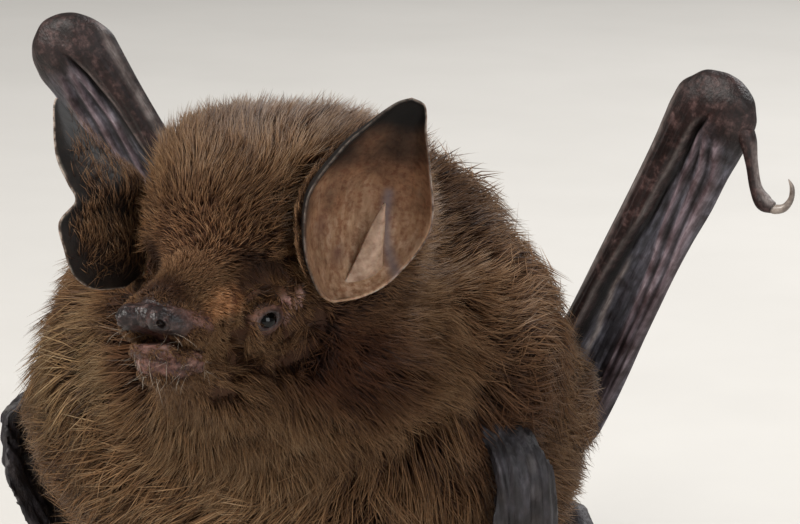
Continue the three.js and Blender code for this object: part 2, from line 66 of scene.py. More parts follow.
def fromHead(points):
    return (np.asarray(points) @ headTurn.T + np.array(headPlace["centre"])) * mm


def ramp(value, low, high):  # smooth step from 0 at low to 1 at high
    t = np.clip((np.asarray(value, float) - low) / (high - low), 0, 1)
    return t * t * (3 - 2 * t)


def bell(value, width):
    return np.exp(-((np.asarray(value) / width) ** 2))


def unit(vectors):
    size = np.linalg.norm(vectors, axis=-1, keepdims=True)
    return vectors / np.maximum(size, 1e-12)


def linear(hexColour):  # sRGB hex to linear
    parts = [int(hexColour[i : i + 2], 16) / 255 for i in (1, 3, 5)]
    return [*(c / 12.92 if c <= 0.04045 else ((c + 0.055) / 1.055) ** 2.4 for c in parts), 1]


def addNode(tree, kind, inputs=None, **settings):  # a node, its settings, and what its sockets take
    node = tree.nodes.new(kind)
    for key, value in settings.items():
        setattr(node, key, value)
    for key, value in (inputs or {}).items():
        if isinstance(value, bpy.types.NodeSocket):
            tree.links.new(value, node.inputs[key])
        else:
            node.inputs[key].default_value = value
    return node


def newMaterial(name):
    material = bpy.data.materials.new(name)
    material.use_nodes = True
    tree = material.node_tree
    tree.nodes.clear()
    return material, tree, addNode(tree, "ShaderNodeTexCoord").outputs["Object"]


def finished(material, colour, rough, **rest):  # the surface, and the material's way out
    tree = material.node_tree
    inputs = {"Base Color": colour, "Roughness": rough, **rest}
    surface = addNode(tree, "ShaderNodeBsdfPrincipled", inputs)
    addNode(tree, "ShaderNodeOutputMaterial", {"Surface": surface.outputs[0]})
    return material


def shares(tree, *names):  # what the mesh says about itself, point by point
    return [addNode(tree, "ShaderNodeAttribute", attribute_name=name).outputs["Fac"] for name in names]


# soft noise: the place that it follows, one blotch's size in mm, detail, roughness
def blotches(tree, *patterns):
    return [
        addNode(
            tree, "ShaderNodeTexNoise",
            {"Vector": place, "Scale": 1000 / sizeMm, "Detail": detail, "Roughness": rough},
        ).outputs["Fac"]
        for place, sizeMm, detail, rough in patterns
    ]


def painted(tree, colour, layers):  # each layer: how much of it shows, its pattern, its colours, how they mix
    for share, pattern, colours, *blend in layers:
        top = linear(colours) if isinstance(colours, str) else colours
        if pattern is not None:
            stepped = addNode(tree, "ShaderNodeValToRGB", {"Fac": pattern})
            line = stepped.color_ramp
            while len(line.elements) < len(colours):
                line.elements.new(0.5)
            for element, (place, tint) in zip(line.elements, colours):
                element.position = place
                element.color = linear(tint)
            top = stepped.outputs["Color"]
        if colour is None:
            colour = top
            continue
        mixed = addNode(
            tree, "ShaderNodeMix", {0: share, 6: colour, 7: top}, data_type="RGBA",
            blend_type=(blend or ["MIX"])[0]
        )
        colour = mixed.outputs[2]
    return colour


def relief(tree, layers):  # bumps one over another: height, strength, depth in mm
    under = {}
    for height, strength, depth in layers:
        inputs = {"Height": height, "Strength": strength, "Distance": depth * mm, **under}
        under = {"Normal": addNode(tree, "ShaderNodeBump", inputs).outputs[0]}
    return under["Normal"]


def softPatch(tree, place, centreMm, radiiMm):  # 1 over the middle of an ellipsoid, 0 outside it
    scale = [1 / (r * mm) for r in radiiMm]
    moved = addNode(
        tree,
        "ShaderNodeMapping",
        {"Vector": place, "Location": [-c * mm * s for c, s in zip(centreMm, scale)], "Scale": scale},
    )
    ball = addNode(tree, "ShaderNodeTexGradient", {"Vector": moved.outputs[0]}, gradient_type="SPHERICAL")
    soft = addNode(
        tree,
        "ShaderNodeMapRange",
        {"Value": ball.outputs["Fac"], "From Min": 0.0, "From Max": 0.75},
        interpolation_type="SMOOTHSTEP",
    )
    return soft.outputs[0]


def headMm(x, y, z):  # a place on the head, in millimetres of the solids' frame
    return [float(c) for c in fromHead([x, y, z]) / mm]


# One set of coat and skin colours, with a painted shadow under each brow: name, middle and radii in mm,
# colour, strength
coatMarkingsAndBrowShadow = dict(
    ground="#a68b6e",
    patches=[
        ("crown", headMm(0, 3, 10), (11, 12, 9), "#aa937d", 0.9),
        ("forehead", headMm(0, -6, 3), (5.5, 5, 4.5), "#a38267", 0.8),
        ("cheekLeft", headMm(8, 0, -4), (7, 9, 6), "#6f4a33", 0.95),
        ("cheekRight", headMm(-8, 0, -4), (7, 9, 6), "#7a573d", 0.85),
        # painted shadow under the brows, above the eyes
        ("browShadow", headMm(3.9, -7, 1.4), (2.2, 2.6, 1.9), "#4a3021", 0.9),
        ("browShadowFar", headMm(-3.9, -7, 1.4), (2.2, 2.6, 1.9), "#4a3021", 0.9),
        ("muzzleTop", headMm(0, -11, 0), (3, 3, 1.8), "#5f4232", 0.9),
        ("muzzleSideLeft", headMm(3.3, -8.2, -1.0), (2.1, 2.6, 1.5), "#ffcda2", 1.0),
        ("muzzleSideRight", headMm(-3.3, -8.2, -1.0), (2.1, 2.6, 1.5), "#ffcda2", 1.0),
        ("chest", (-4, -26, 20), (17, 9, 10), "#c2ab8e", 0.9),
        ("farRuff", (-13, -23, 26), (7, 8, 7), "#d3c3a4", 0.9),
        ("shoulder", (16, -11, 31), (7, 9, 8), "#c6a98e", 0.85),
        ("nape", (10, -9, 38), (6, 6, 6), "#7a6048", 0.9),
        ("nearFlank", (15, -12, 22), (6, 7, 9), "#7c5b44", 0.8),
        ("rump", (-1.5, 8, 16), (16, 14, 15), "#987b5f", 0.8),
    ],
)


def makeMarkingsAndBrowShadow():
    group = bpy.data.node_groups.new("coatMarkingsAndBrowShadow", "ShaderNodeTree")
    group.interface.new_socket("Colour", in_out="OUTPUT", socket_type="NodeSocketColor")
    place = addNode(group, "ShaderNodeTexCoord").outputs["Object"]
    wander = addNode(group, "ShaderNodeTexNoise", {"Vector": place, "Scale": 1000 / 5.0, "Detail": 2.0})
    middle = {0: wander.outputs["Color"], 1: (0.5, 0.5, 0.5)}
    centred = addNode(group, "ShaderNodeVectorMath", middle, operation="SUBTRACT").outputs[0]
    moved = {0: centred, 1: (4 * mm, 4 * mm, 4 * mm), 2: place}
    shifted = addNode(group, "ShaderNodeVectorMath", moved, operation="MULTIPLY_ADD").outputs[0]
    layers = []
    for _, centre, radii, tint, strength in coatMarkingsAndBrowShadow["patches"]:
        scaled = {0: softPatch(group, shifted, centre, radii), 1: strength}
        share = addNode(group, "ShaderNodeMath", scaled, operation="MULTIPLY").outputs[0]
        layers.append((share, None, tint))
    colour = painted(group, linear(coatMarkingsAndBrowShadow["ground"]), layers)
    out = addNode(group, "NodeGroupOutput")
    group.links.new(colour, out.inputs[0])
    return group


markingsAndBrowShadow = makeMarkingsAndBrowShadow()


# Bat fur: dense soft hairs, dark and woolly at the root and paler at the tip. Dull, with a faint sheen on
# the locks, and each lock a little lighter or darker than the next.
def furMaterial():
    material, tree, _ = newMaterial("batFur")
    base = addNode(tree, "ShaderNodeGroup", node_tree=markingsAndBrowShadow).outputs[0]
    tip, tone = shares(tree, "tipShare", "lockTone")
    colour = painted(tree, base, [
        (1, tip, [(0.0, "#3a2b22"), (0.4, "#705a4a"), (0.75, "#c9b7a4"), (1.0, "#ffffff")], "MULTIPLY"),
        (1, tone, [(0.0, "#6e5a4a"), (0.5, "#c9bbab"), (1.0, "#fffdf8")], "MULTIPLY"),
    ])
    return finished(material, colour, 0.5, **{"Specular IOR Level": 0.22})


# Bat hide: thin skin, dull under the coat and bare and moist on the nose, lips and lids. Pinkish and blotched
# where bare, nearly black on the nose, with fine pores and a soft, slightly wet shine.
def hideMaterial():
    material, tree, place = newMaterial("batHide")
    coat = addNode(tree, "ShaderNodeGroup", node_tree=markingsAndBrowShadow).outputs[0]
    bare, dark, mouth, orange, pale = shares(
        tree, "bareShare", "darkShare", "mouthAndNostrilShadeShare", "orangeShare", "paleSkinAndLipGlintShare"
    )
    blotch, nosePattern, fleck, fine = blotches(
        tree, (place, 0.9, 5, 0.7), (place, 0.5, 5, 0.7), (place, 0.28, 4, 0.7), (place, 0.16, 3, 0.6)
    )
    pinkish = painted(tree, None, [
        (1, blotch, [(0.3, "#34201b"), (0.45, "#573c35"), (0.58, "#74544b"), (0.75, "#947268")]),
        (orange, blotch, [(0.3, "#7a4e2f"), (0.7, "#b07a50")]),
        # pale: the bare band's own colour, and a painted highlight along the lower lip's wet edge
        (pale, blotch, [(0.3, "#7c5c56"), (0.5, "#a38078"), (0.7, "#bfa49d")]),
    ])
    colour = painted(tree, coat, [
        (1, None, "#5e4a3e", "MULTIPLY"),
        (bare, None, pinkish),
        (bare, fleck, [(0.38, "#7d6560"), (0.52, "#e3d8d4"), (0.64, "#ffffff")], "MULTIPLY"),
        (dark, nosePattern, [(0.35, "#100b0a"), (0.5, "#221817"), (0.62, "#453633"), (0.74, "#75605d")]),
        # painted shade: near black in the mouth's gap and the nostril openings
        (mouth, None, "#150b0a"),
    ])
    pores = addNode(
        tree, "ShaderNodeTexVoronoi", {"Vector": place, "Scale": 1000 / 0.13}, feature="F1"
    ).outputs["Distance"]
    dull = addNode(tree, "ShaderNodeMapRange", {"Value": bare, "To Min": 0.95, "To Max": 0.48})
    rough = addNode(tree, "ShaderNodeMix", {0: dark, 2: dull.outputs[0], 3: 0.4}, data_type="FLOAT")
    return finished(material, colour, rough.outputs[0], **{
        "Specular IOR Level": 0.3,
        "Subsurface Weight": 0.12,
        "Subsurface Scale": 0.3 * mm,
        "Normal": relief(tree, [(fine, 0.5, 0.05), (pores, 0.5, 0.04)]),
    })


# Wing membrane: two thin layers of skin drawn in long pleats over the finger bones. Slate grey, mauve along
# the bones and maroon over the arm, leathery and half dull.
def wingMaterial():
    material, tree, place = newMaterial("wingLeather")
    grain = addNode(tree, "ShaderNodeAttribute", attribute_name="grainPlace").outputs["Vector"]
    bone, arm, edge, crease = shares(tree, "boneShare", "armShare", "paleEdgeAndHighlightShare", "darkToneAndCreaseShadeShare")
    streak, fine, broad, fleck = blotches(
        tree, (grain, 0.45, 5, 0.65), (grain, 0.16, 3, 0.6), (place, 1.6, 3, 0.6), (place, 0.55, 4, 0.65)
    )
    maroon = painted(tree, None, [
        (1, streak, [(0.3, "#1a1010"), (0.5, "#301d1c"), (0.65, "#46302e"), (0.8, "#6c5653")]),
        # flecks: mottled skin, partly painted highlight spots on the wrist's dome and the arm
        (1, fleck, [(0.32, "#6e4a46"), (0.5, "#cdb8b2"), (0.66, "#ffffff")], "MULTIPLY"),
        (0.42, fleck, [(0.5, "#2d201e"), (0.68, "#745c58"), (0.8, "#a08781")]),
    ])
    colour = painted(tree, None, [
        (1, streak, [(0.3, "#302e30"), (0.48, "#4c4b51"), (0.6, "#67656e"), (0.76, "#98969e")]),
        (bone, streak, [(0.3, "#4b3d40"), (0.52, "#7b6b71"), (0.75, "#b5a6ab")]),
        (arm, None, maroon),
        # pale: the free edge, and painted highlights on the forearm's outlines, the thumb and the flank
        # fold's pleats
        (edge, fine, [(0.3, "#7d706c"), (0.7, "#c3b9b3")]),
        # painted shade in the wing's creases; on the membrane folds an even darker tone
        (crease, None, "#100b0b"),
        (1, broad, [(0.35, "#9c8f8b"), (0.65, "#ffffff")], "MULTIPLY"),
    ])
    scales = addNode(
        tree, "ShaderNodeTexVoronoi", {"Vector": place, "Scale": 1000 / 0.2}, feature="F1"
    ).outputs["Distance"]
    bumps = relief(tree, [(streak, 0.7, 0.14), (fine, 0.5, 0.06), (scales, 0.4, 0.04)])
    return finished(material, colour, 0.5, **{"Specular IOR Level": 0.35, "Normal": bumps})


def simpleMaterial(name, dark, light, sizeMm, rough, **rest):  # two colours in blotches of one size
    material, tree, place = newMaterial(name)
    (blotch,) = blotches(tree, (place, sizeMm, 4, 0.6))
    colour = painted(tree, None, [(1, blotch, [(0.3, dark), (0.7, light)])])
    return finished(material, colour, rough, **{"Normal": relief(tree, [(blotch, 0.4, 0.04)]), **rest})


def meshFrom(bm, name):  # ends the bmesh and keeps its mesh
    mesh = bpy.data.meshes.new(name)
    bm.to_mesh(mesh)
    bm.free()
    return mesh


def treeOf(places):  # finds the nearest of many places
    tree = KDTree(len(places))
    for index, place in enumerate(places):
        tree.insert(place, index)
    tree.balance()
    return tree


def placed(name, mesh, material):  # a finished piece on the still body
    piece = bpy.data.objects.new(name, mesh)
    bpy.context.scene.collection.objects.link(piece)
    mesh.materials.append(material)
    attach(piece, "root")
    return piece


def applied(piece):  # bakes the modifiers into the mesh
    deps = bpy.context.evaluated_depsgraph_get()
    mesh = bpy.data.meshes.new_from_object(piece.evaluated_get(deps))
    piece.modifiers.clear()
    old = piece.data
    piece.data = mesh
    bpy.data.meshes.remove(old)


def mergedNodes(nodes, mend=0.002 * mm):  # the solids in one bmesh, their loose triangles joined
    bm = bmesh.new()
    for node in nodes:
        bm.from_mesh(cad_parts[node].data)
    bmesh.ops.remove_doubles(bm, verts=bm.verts, dist=mend)
    return bm


# one closed skin over several solids, with rounded fill (mm) where they meet
def fusedSkin(name, nodes, settings, fill=()):
    bm = mergedNodes(nodes)
    for middle, radii in fill:
        ball = bmesh.ops.create_uvsphere(bm, u_segments=16, v_segments=10, radius=mm)["verts"]
        bmesh.ops.scale(bm, verts=ball, vec=radii)
        bmesh.ops.translate(bm, verts=ball, vec=[c * mm for c in middle])
    piece = bpy.data.objects.new(name, meshFrom(bm, name))
    bpy.context.scene.collection.objects.link(piece)
    swell = piece.modifiers.new("swell", "DISPLACE")
    swell.strength = settings["bridge"] * mm
    swell.mid_level = 0
    remesh = piece.modifiers.new("remesh", "REMESH")
    remesh.mode = "VOXEL"
    remesh.voxel_size = settings["voxel"] * mm
    smooth = piece.modifiers.new("smooth", "SMOOTH")
    smooth.factor = 0.5
    smooth.iterations = settings["smooth"]
    shrink = piece.modifiers.new("shrink", "DISPLACE")
    shrink.strength = -settings["bridge"] * mm
    shrink.mid_level = 0
    applied(piece)
    return piece


def points(mesh):
    co = np.empty(len(mesh.vertices) * 3, np.float32)
    mesh.vertices.foreach_get("co", co)
    return co.reshape(-1, 3).astype(float)


def normals(mesh):
    no = np.empty(len(mesh.vertices) * 3, np.float32)
    mesh.vertex_normals.foreach_get("vector", no)
    return no.reshape(-1, 3).astype(float)


def setPoints(mesh, co):
    mesh.vertices.foreach_set("co", np.ascontiguousarray(co, np.float32).ravel())
    mesh.update()


def setShare(mesh, name, values):
    layer = mesh.attributes.get(name) or mesh.attributes.new(name, "FLOAT", "POINT")
    layer.data.foreach_set("value", np.ascontiguousarray(values, np.float32))


def edgePairs(mesh):
    pairs = np.empty(len(mesh.edges) * 2, np.int32)
    mesh.edges.foreach_get("vertices", pairs)
    return pairs.reshape(-1, 2)


def spread(mesh, values, rounds):  # evens values out along the mesh's edges
    pairs = edgePairs(mesh)
    a, b = pairs[:, 0], pairs[:, 1]
    count = len(mesh.vertices)
    degree = np.maximum(np.bincount(a, minlength=count) + np.bincount(b, minlength=count), 1)
    flat = values.reshape(count, -1).astype(float)
    for _ in range(rounds):
        total = np.empty_like(flat)
        for k in range(flat.shape[1]):
            total[:, k] = np.bincount(a, flat[b, k], count) + np.bincount(b, flat[a, k], count)
        flat = 0.5 * (flat + total / degree[:, None])
    return flat.reshape(values.shape)


def gapTo(co, nodes):  # millimetres from each point to the nearest of those solids
    bm = mergedNodes(nodes)
    tree = BVHTree.FromBMesh(bm)
    bm.free()
    return np.array([tree.find_nearest(Vector(p))[3] for p in co]) / mm


bodySkin = dict(
    nodes=[
        "trunk", "neck", "head", "lower_jaw", "upper_arm_left", "upper_arm_right", "thigh_left", "thigh_right"
    ],
    bridge=0.2,
    voxel=0.42,
    smooth=3,
    bodyDepth=3.2,  # mm of coat over the trunk
    armDepth=2.4,
    legDepth=1.9,
    crownDepth=2.3,
    cheekDepth=1.5,
    napeDepth=3.0,
    muzzleDepth=0.4,
)
eyeAt = np.array([4.2, -5.6, -1.7])  # left eye, head's frame
eyeAxis = unit(np.array([0.86, -0.5, 0.06]))  # which way it looks
earFoot = np.array([8.2, -2.4, 0.8])
bulbs = dict(at=(1.08, -12.38, -2.2), radius=0.76, slit=(0.7, -0.62, -0.34))  # the nose's two rounded halves
muzzleForms = [  # centre and radii of the nose, muzzle, lip and jaw, head's frame
    (bulbs["at"], (0.74, 0.8, 0.78)),
    ((0, -11.95, -2.05), (0.8, 0.75, 0.75)),
    ((1.6, -11.0, -2.2), (1.0, 1.3, 0.95)),
    ((2.1, -9.5, -2.3), (1.05, 1.9, 1.25)),
    ((0, -10.3, -1.5), (1.6, 1.8, 1.3)),
    ((0, -8.2, -1.9), (2.8, 3.0, 2.0)),
    ((0, -11.4, -4.1), (0.8, 0.6, 0.42)),
    ((0.9, -11.0, -4.15), (0.7, 0.6, 0.4)),
    ((1.6, -10.05, -4.35), (0.7, 0.8, 0.4)),
    ((2.1, -8.9, -4.45), (0.6, 0.9, 0.45)),
    ((0, -9.5, -4.95), (1.95, 1.8, 1.15)),
    ((0, -7.9, -4.9), (2.6, 2.4, 1.3)),
]
faceHollows = [  # middle, radius and lift of the small swellings and hollows
    ((1.95, -11.75, -2.1), 0.3, -0.16),
    ((2.75, -9.9, -2.4), 0.6, 0.1),
    ((3.1, -7.9, -1.3), 1.1, 0.25),
    ((1.5, -10.5, -0.2), 0.55, -0.35),
    ((3.9, -7.2, 1.0), 1.5, -0.7),
    ((0.9, -11.9, -3.1), 0.3, -0.12),
]
# on the lower lip: mm below the mouth, width, lift
lipFolds = [(0.16, 0.1, 0.08), (0.38, 0.08, -0.07), (0.8, 0.16, -0.12), (1.4, 0.16, -0.1)]
faceLines = dict(  # bare skin, head's frame
    muzzle=np.array([(1.5, -11.4, -1.6), (2.1, -10.7, -2.3), (2.6, -9.6, -2.6)]),
    lip=np.array([(0, -11.4, -4.9), (1.4, -10.6, -4.8), (2.2, -9.3, -4.6)]),
    band=np.array([(4.8, -5.6, -1.55), (5.6, -5.3, -0.95), (6.5, -4.8, -0.25)]),
)


def swirl(co, sizeMm, seedShift):  # a smooth wandering vector field
    p = co / mm / sizeMm
    out = np.zeros_like(p)
    for k in range(3):
        phase = seedShift * 1.7 + k * 2.1
        out[:, k] = (
            np.sin(p[:, (k + 1) % 3] * 2.3 + phase)
            + np.sin(p[:, (k + 2) % 3] * 3.1 - phase * 1.3)
            + np.sin((p[:, k] + p[:, (k + 1) % 3]) * 1.9 + phase * 0.7)
        ) / 3
    return out


def mirroredHead(co):  # head's frame with the right half folded onto the left
    h = toHead(co)
    h[:, 0] = np.abs(h[:, 0])
    return h


def lineGap(co, line):  # millimetres to a polyline given by its points
    best = np.full(len(co), 1e9)
    for a, b in zip(line[:-1], line[1:]):
        t = np.clip((co - a) @ (b - a) / ((b - a) @ (b - a)), 0, 1)
        best = np.minimum(best, np.linalg.norm(co - a - t[:, None] * (b - a), axis=1))
    return best


def eyeRing(m):  # a slanting almond about the eye, and the height over its middle
    height = (m - eyeAt) @ eyeAxis
    flat = m - eyeAt - height[:, None] * eyeAxis
    long = flat @ np.array([0.4, 0.69, 0.6])
    short = flat @ np.array([-0.3, -0.52, 0.8])
    return np.hypot(long / 1.42, short / 0.85), height


def mouthLine(y):  # height of the mouth's line and half its gap, from the front to the corner
    return (
        np.interp(y, [-11.8, -9.5, -8.3], [-3.38, -3.95, -3.9]),
        np.interp(y, [-11.6, -10.3, -8.3], [0.3, 0.09, 0.05])
    )


def bareness(co):  # 1 where no coat grows on the head
    true = mirroredHead(co)
    h = true + 0.35 * swirl(co, 0.7, 2) + 0.15 * swirl(co, 0.3, 5)
    nose = 1 - ramp(h[:, 1] + 0.8 * ramp(h[:, 2], -1.9, -1.1), -11.7, -11.1)
    side = 0.9 * (1 - ramp(lineGap(h, faceLines["muzzle"]), 0.35, 1.15))
    lips = 1 - ramp(lineGap(h, faceLines["lip"]), 0.5, 1.15)
    ring, height = eyeRing(true)
    eye = 0.75 * (1 - ramp(ring, 0.5, 0.75)) * (np.abs(height) < 2.2)
    band = (1 - ramp(lineGap(h, faceLines["band"]), 0.25, 0.95)) * np.where(toHead(co)[:, 0] > 0, 0.8, 0.2)
    return np.max([nose, side, lips, eye, band], 0)


def coatDepth(co):  # mm of coat over each point of the outer form
    h = mirroredHead(co)
    y, z = h[:, 1], h[:, 2]
    depth = np.full(len(co), bodySkin["bodyDepth"])
    onHead = 1 - ramp(gapTo(co, ["head", "lower_jaw"]), 0.1, 1.2)
    onHead = np.maximum(
        onHead, 1 - ramp(np.linalg.norm((h - [0, -9.3, -3.2]) / [3.6, 3.6, 3.5], axis=1), 0.85, 1.0)
    )
    crown = bodySkin["cheekDepth"] + (bodySkin["crownDepth"] - bodySkin["cheekDepth"]) * ramp(z, -1, 5)
    crown += (bodySkin["napeDepth"] - crown) * ramp(y, 3, 9)
    crown = bodySkin["muzzleDepth"] + (crown - bodySkin["muzzleDepth"]) * ramp(y, -9.5, -3.5)
    crown *= 1 - bareness(co)
    crown *= 0.5 + 0.5 * ramp(np.linalg.norm(h - earFoot, axis=1), 1.5, 3.6)
    depth = depth * (1 - onHead) + crown * onHead
    for words, value in (
        (["upper_arm_left", "upper_arm_right"], bodySkin["armDepth"]),
        (["thigh_left", "thigh_right"], bodySkin["legDepth"]),
    ):
        near = 1 - ramp(gapTo(co, words), 0.1, 1.0)
        depth = depth * (1 - near) + value * near
    return depth


def sculptFace(co, out):  # swells and folds the bare parts; out holds the skin's own normals
    h = toHead(co)
    side = np.where(h[:, 0] < 0, -1.0, 1.0)
    m = mirroredHead(co)
    n = out @ headTurn
    n[:, 0] *= side
    # nose, muzzle, lip and jaw: the skin moves out along rays onto one blended form, cut in at the mouth
    share = 1 - ramp(m[:, 1] + 1.3 * ramp(m[:, 2], -1.0, 0.2), -9.7, -8.3)
    some = share > 0
    heart = np.array([0.0, -8.6, -3.4])
    way = unit(m[some] - heart)
    reach = np.linspace(0.5, 6.5, 110)
    field = np.zeros((len(way), len(reach)))
    for centre, radii in muzzleForms:
        spots = (heart + way[:, None, :] * reach[None, :, None] - centre) / np.array(radii)
        field += np.exp(-8 * (np.linalg.norm(spots, axis=2) - 1) * min(radii))
    field = -np.log(field) / 8
    outside = field > 0
    last = len(reach) - 1 - np.argmax(~outside[:, ::-1], axis=1)
    last = np.minimum(last, len(reach) - 2)
    row = np.arange(len(last))
    f0, f1 = field[row, last], field[row, last + 1]
    found = reach[last] + (reach[1] - reach[0]) * np.clip(-f0 / np.maximum(f1 - f0, 1e-6), 0, 1)
    surface = heart + way * found[:, None]
    middle, half = mouthLine(surface[:, 1])
    gape = 1 - ramp(np.abs(surface[:, 2] - middle) / half, 0.7, 1.35)
    found -= gape * np.interp(surface[:, 1], [-12.0, -10.4, -8.6, -8.2], [1.5, 0.5, 0.3, 0.0])
    m[some] += (heart + way * found[:, None] - m[some]) * share[some, None]
    front = 1 - ramp(m[:, 1], -12.0, -11.4)
    slit = np.array(bulbs["at"]) + unit(np.array(bulbs["slit"])) * bulbs["radius"]
    gap = (m - slit) @ np.array([[1, 0, 0], [0, 0.6, 0.25], [0, 0.25, 1.15]])
    spot = np.linalg.norm(gap, axis=1)
    inward = -unit(np.array(bulbs["slit"]) + [0, -0.2, 0.1])
    m = m + inward * (0.4 * (1 - ramp(spot, 0.08, 0.26)) * front)[:, None]
    m = m - inward * (0.08 * bell(spot - 0.36, 0.1) * front)[:, None]
    # small swellings and hollows, fine wrinkles where the skin is bare
    for centre, radius, lift in faceHollows:
        m = m + n * (lift * bell(np.linalg.norm(m - centre, axis=1), radius))[:, None]
    middle, half = mouthLine(m[:, 1])
    below = middle - half - m[:, 2]
    onLip = 1 - ramp(m[:, 1], -9, -8.2)
    folds = sum(lift * bell(below - depth, width) for depth, width, lift in lipFolds)
    m = m + n * (onLip * folds)[:, None]
    creased = bareness(fromHead(m)) * (m[:, 1] < -8)
    m = m + n * (creased * 0.05 * (swirl(co, 0.3, 7)[:, 0] + 0.6 * swirl(co, 0.16, 9)[:, 1]))[:, None]
    # lids: a rim that hugs the eyeball, and a fold behind it
    ring, height = eyeRing(m)
    close = (1 - ramp(ring, 0.7, 1.6)) * (np.abs(height) < 2.2)
    rim = np.interp(
        ring, [0, 0.33, 0.42, 0.5, 0.6, 0.72, 0.84, 1.0, 1.5],
        [-0.4, -0.2, 0.52, 0.59, 0.55, 0.47, 0.45, 0.35, 0.1]
    )
    m = m + eyeAxis * ((rim - height) * close)[:, None]
    band = lineGap(m, faceLines["band"])
    m = m - n * (0.1 * bell(band, 0.5) * (ring > 1.2))[:, None]
    m[:, 0] *= side
    return fromHead(m)


def finerFace(mesh):  # the face is cut finer, the nose, lips and lids finer still
    bm = bmesh.new()
    bm.from_mesh(mesh)
    for cuts in (2, 1):
        h = mirroredHead(np.array([f.calc_center_median() for f in bm.faces]))
        if cuts == 2:
            chosen = (h[:, 1] < -4.2) & (h[:, 2] < 3.2) & (h[:, 2] > -6.5)
        else:
            chosen = (h[:, 1] < -10.9) & (h[:, 2] > -4) | (np.linalg.norm(h - eyeAt, axis=1) < 1.5)
            chosen |= (h[:, 1] < -7) & (np.abs(h[:, 2] + 3.9) < 0.9)
        bm.faces.ensure_lookup_table()
        edges = list({e for f, take in zip(bm.faces, chosen) if take for e in f.edges})
        bmesh.ops.subdivide_edges(bm, edges=edges, cuts=cuts, use_grid_fill=True)
    bmesh.ops.triangulate(bm, faces=[f for f in bm.faces if len(f.verts) > 4])
    bm.to_mesh(mesh)
    bm.free()
    mesh.update()


print("stage: body skin")
bulbX, bulbY, bulbZ = bulbs["at"]
noseFill = [(headMm(side * bulbX, bulbY, bulbZ), [bulbs["radius"]] * 3) for side in sideWords]
noseFill += [(headMm(side * 1.15, -12.0, -2.1), [1.0] * 3) for side in sideWords]
noseFill += [
    (headMm(0, -9.5, -4.75), (2.4, 2.0, 1.1)), (headMm(0, -8.7, -3.6), (2.1, 2.6, 1.0)),
    (headMm(0, -10.6, -3.4), (1.2, 1.3, 0.8))
]
bodyPiece = fusedSkin("bodySkin", bodySkin["nodes"], bodySkin, noseFill)
bodyMesh = bodyPiece.data
finerFace(bodyMesh)
outerPoints = points(bodyMesh)
faceShare = (1 - ramp(mirroredHead(outerPoints)[:, 1], -6, -3.5))[:, None]
outerPoints = outerPoints * (1 - faceShare) + spread(bodyMesh, outerPoints, 10) * faceShare
setPoints(bodyMesh, outerPoints)
outerNormals = unit(spread(bodyMesh, normals(bodyMesh), 4))
depths = spread(bodyMesh, coatDepth(outerPoints), 10)
softNormals = unit(spread(bodyMesh, outerNormals, 8))
inner = outerPoints - softNormals * depths[:, None] * mm
under = ramp(depths, 0.5, 1.5)[:, None]
inner = inner * (1 - under) + spread(bodyMesh, inner, 8) * under
setPoints(bodyMesh, inner)
onFace = (mirroredHead(inner)[:, 1] < -3.6) & (depths < 1.6)
sculpted = sculptFace(inner, unit(spread(bodyMesh, normals(bodyMesh), 4)))
inner[onFace] = sculpted[onFace]
inner[:, 2] = np.maximum(inner[:, 2], 0.3 * mm)
setPoints(bodyMesh, inner)
bare = spread(bodyMesh, bareness(outerPoints) * (1 - ramp(depths, 0.3, 0.9)), 2)
setShare(bodyMesh, "bareShare", bare)
outward = unit(spread(bodyMesh, normals(bodyMesh), 3))
outerPoints[onFace] = inner[onFace] + outward[onFace] * depths[onFace, None] * mm
outerNormals[onFace] = outward[onFace]
h = mirroredHead(inner)
eyeGap, eyeHeight = eyeRing(h)
eyeGap += 9 * (np.abs(eyeHeight) > 2.2)
noseDark = (
    1 - ramp(h[:, 1] + 0.25 * (h[:, 2] + 2) + 0.3 * swirl(inner, 0.7, 4)[:, 0], -12.0, -11.0)
) * ramp(h[:, 2], -3.5, -3.1)
setShare(bodyMesh, "darkShare", np.maximum(noseDark, 0.9 * (1 - ramp(eyeGap, 0.5, 0.8))))
lineHeight, lineHalf = mouthLine(h[:, 1])
atMouth = 1 - ramp(h[:, 1], -8.7, -8.1)
underLine = lineHeight - lineHalf - h[:, 2]
bandPale = (
    (1 - ramp(lineGap(h, faceLines["band"]), 0.4, 1.4)) * (toHead(inner)[:, 0] > 0) * ramp(eyeGap, 0.8, 1.2)
)
# pale: the bare band from the eye to the ear is the skin's own colour; the narrow line just under the mouth
# is a painted highlight on the wet lower lip's edge
setShare(
    bodyMesh, "paleSkinAndLipGlintShare",
    np.maximum(bandPale, atMouth * bell(underLine - 0.12, 0.09) * (0.7 + 0.3 * swirl(inner, 0.4, 3)[:, 0]))
)
nostril = np.array(bulbs["at"]) + unit(np.array(bulbs["slit"])) * bulbs["radius"] * 0.8
# painted shade in the nostril openings and the mouth's gap
nostrilShade = 1 - ramp(np.linalg.norm(h - nostril, axis=1), 0.2, 0.36)
mouthGapShade = atMouth * (1 - ramp(np.abs(h[:, 2] - lineHeight - 0.1) / lineHalf, 1.0, 1.8))
setShare(bodyMesh, "mouthAndNostrilShadeShare", np.maximum(mouthGapShade, nostrilShade))
setShare(
    bodyMesh, "orangeShare", bell(np.linalg.norm((h - [3.2, -8.4, -1.0]) / [1.5, 1.9, 1.0], axis=1), 0.9)
)
bodyMesh.shade_smooth()
bodyMesh.materials.clear()
bodyMesh.materials.append(hideMaterial())
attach(bodyPiece, "root")
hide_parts(*bodySkin["nodes"])
print("body skin faces", len(bodyMesh.polygons))


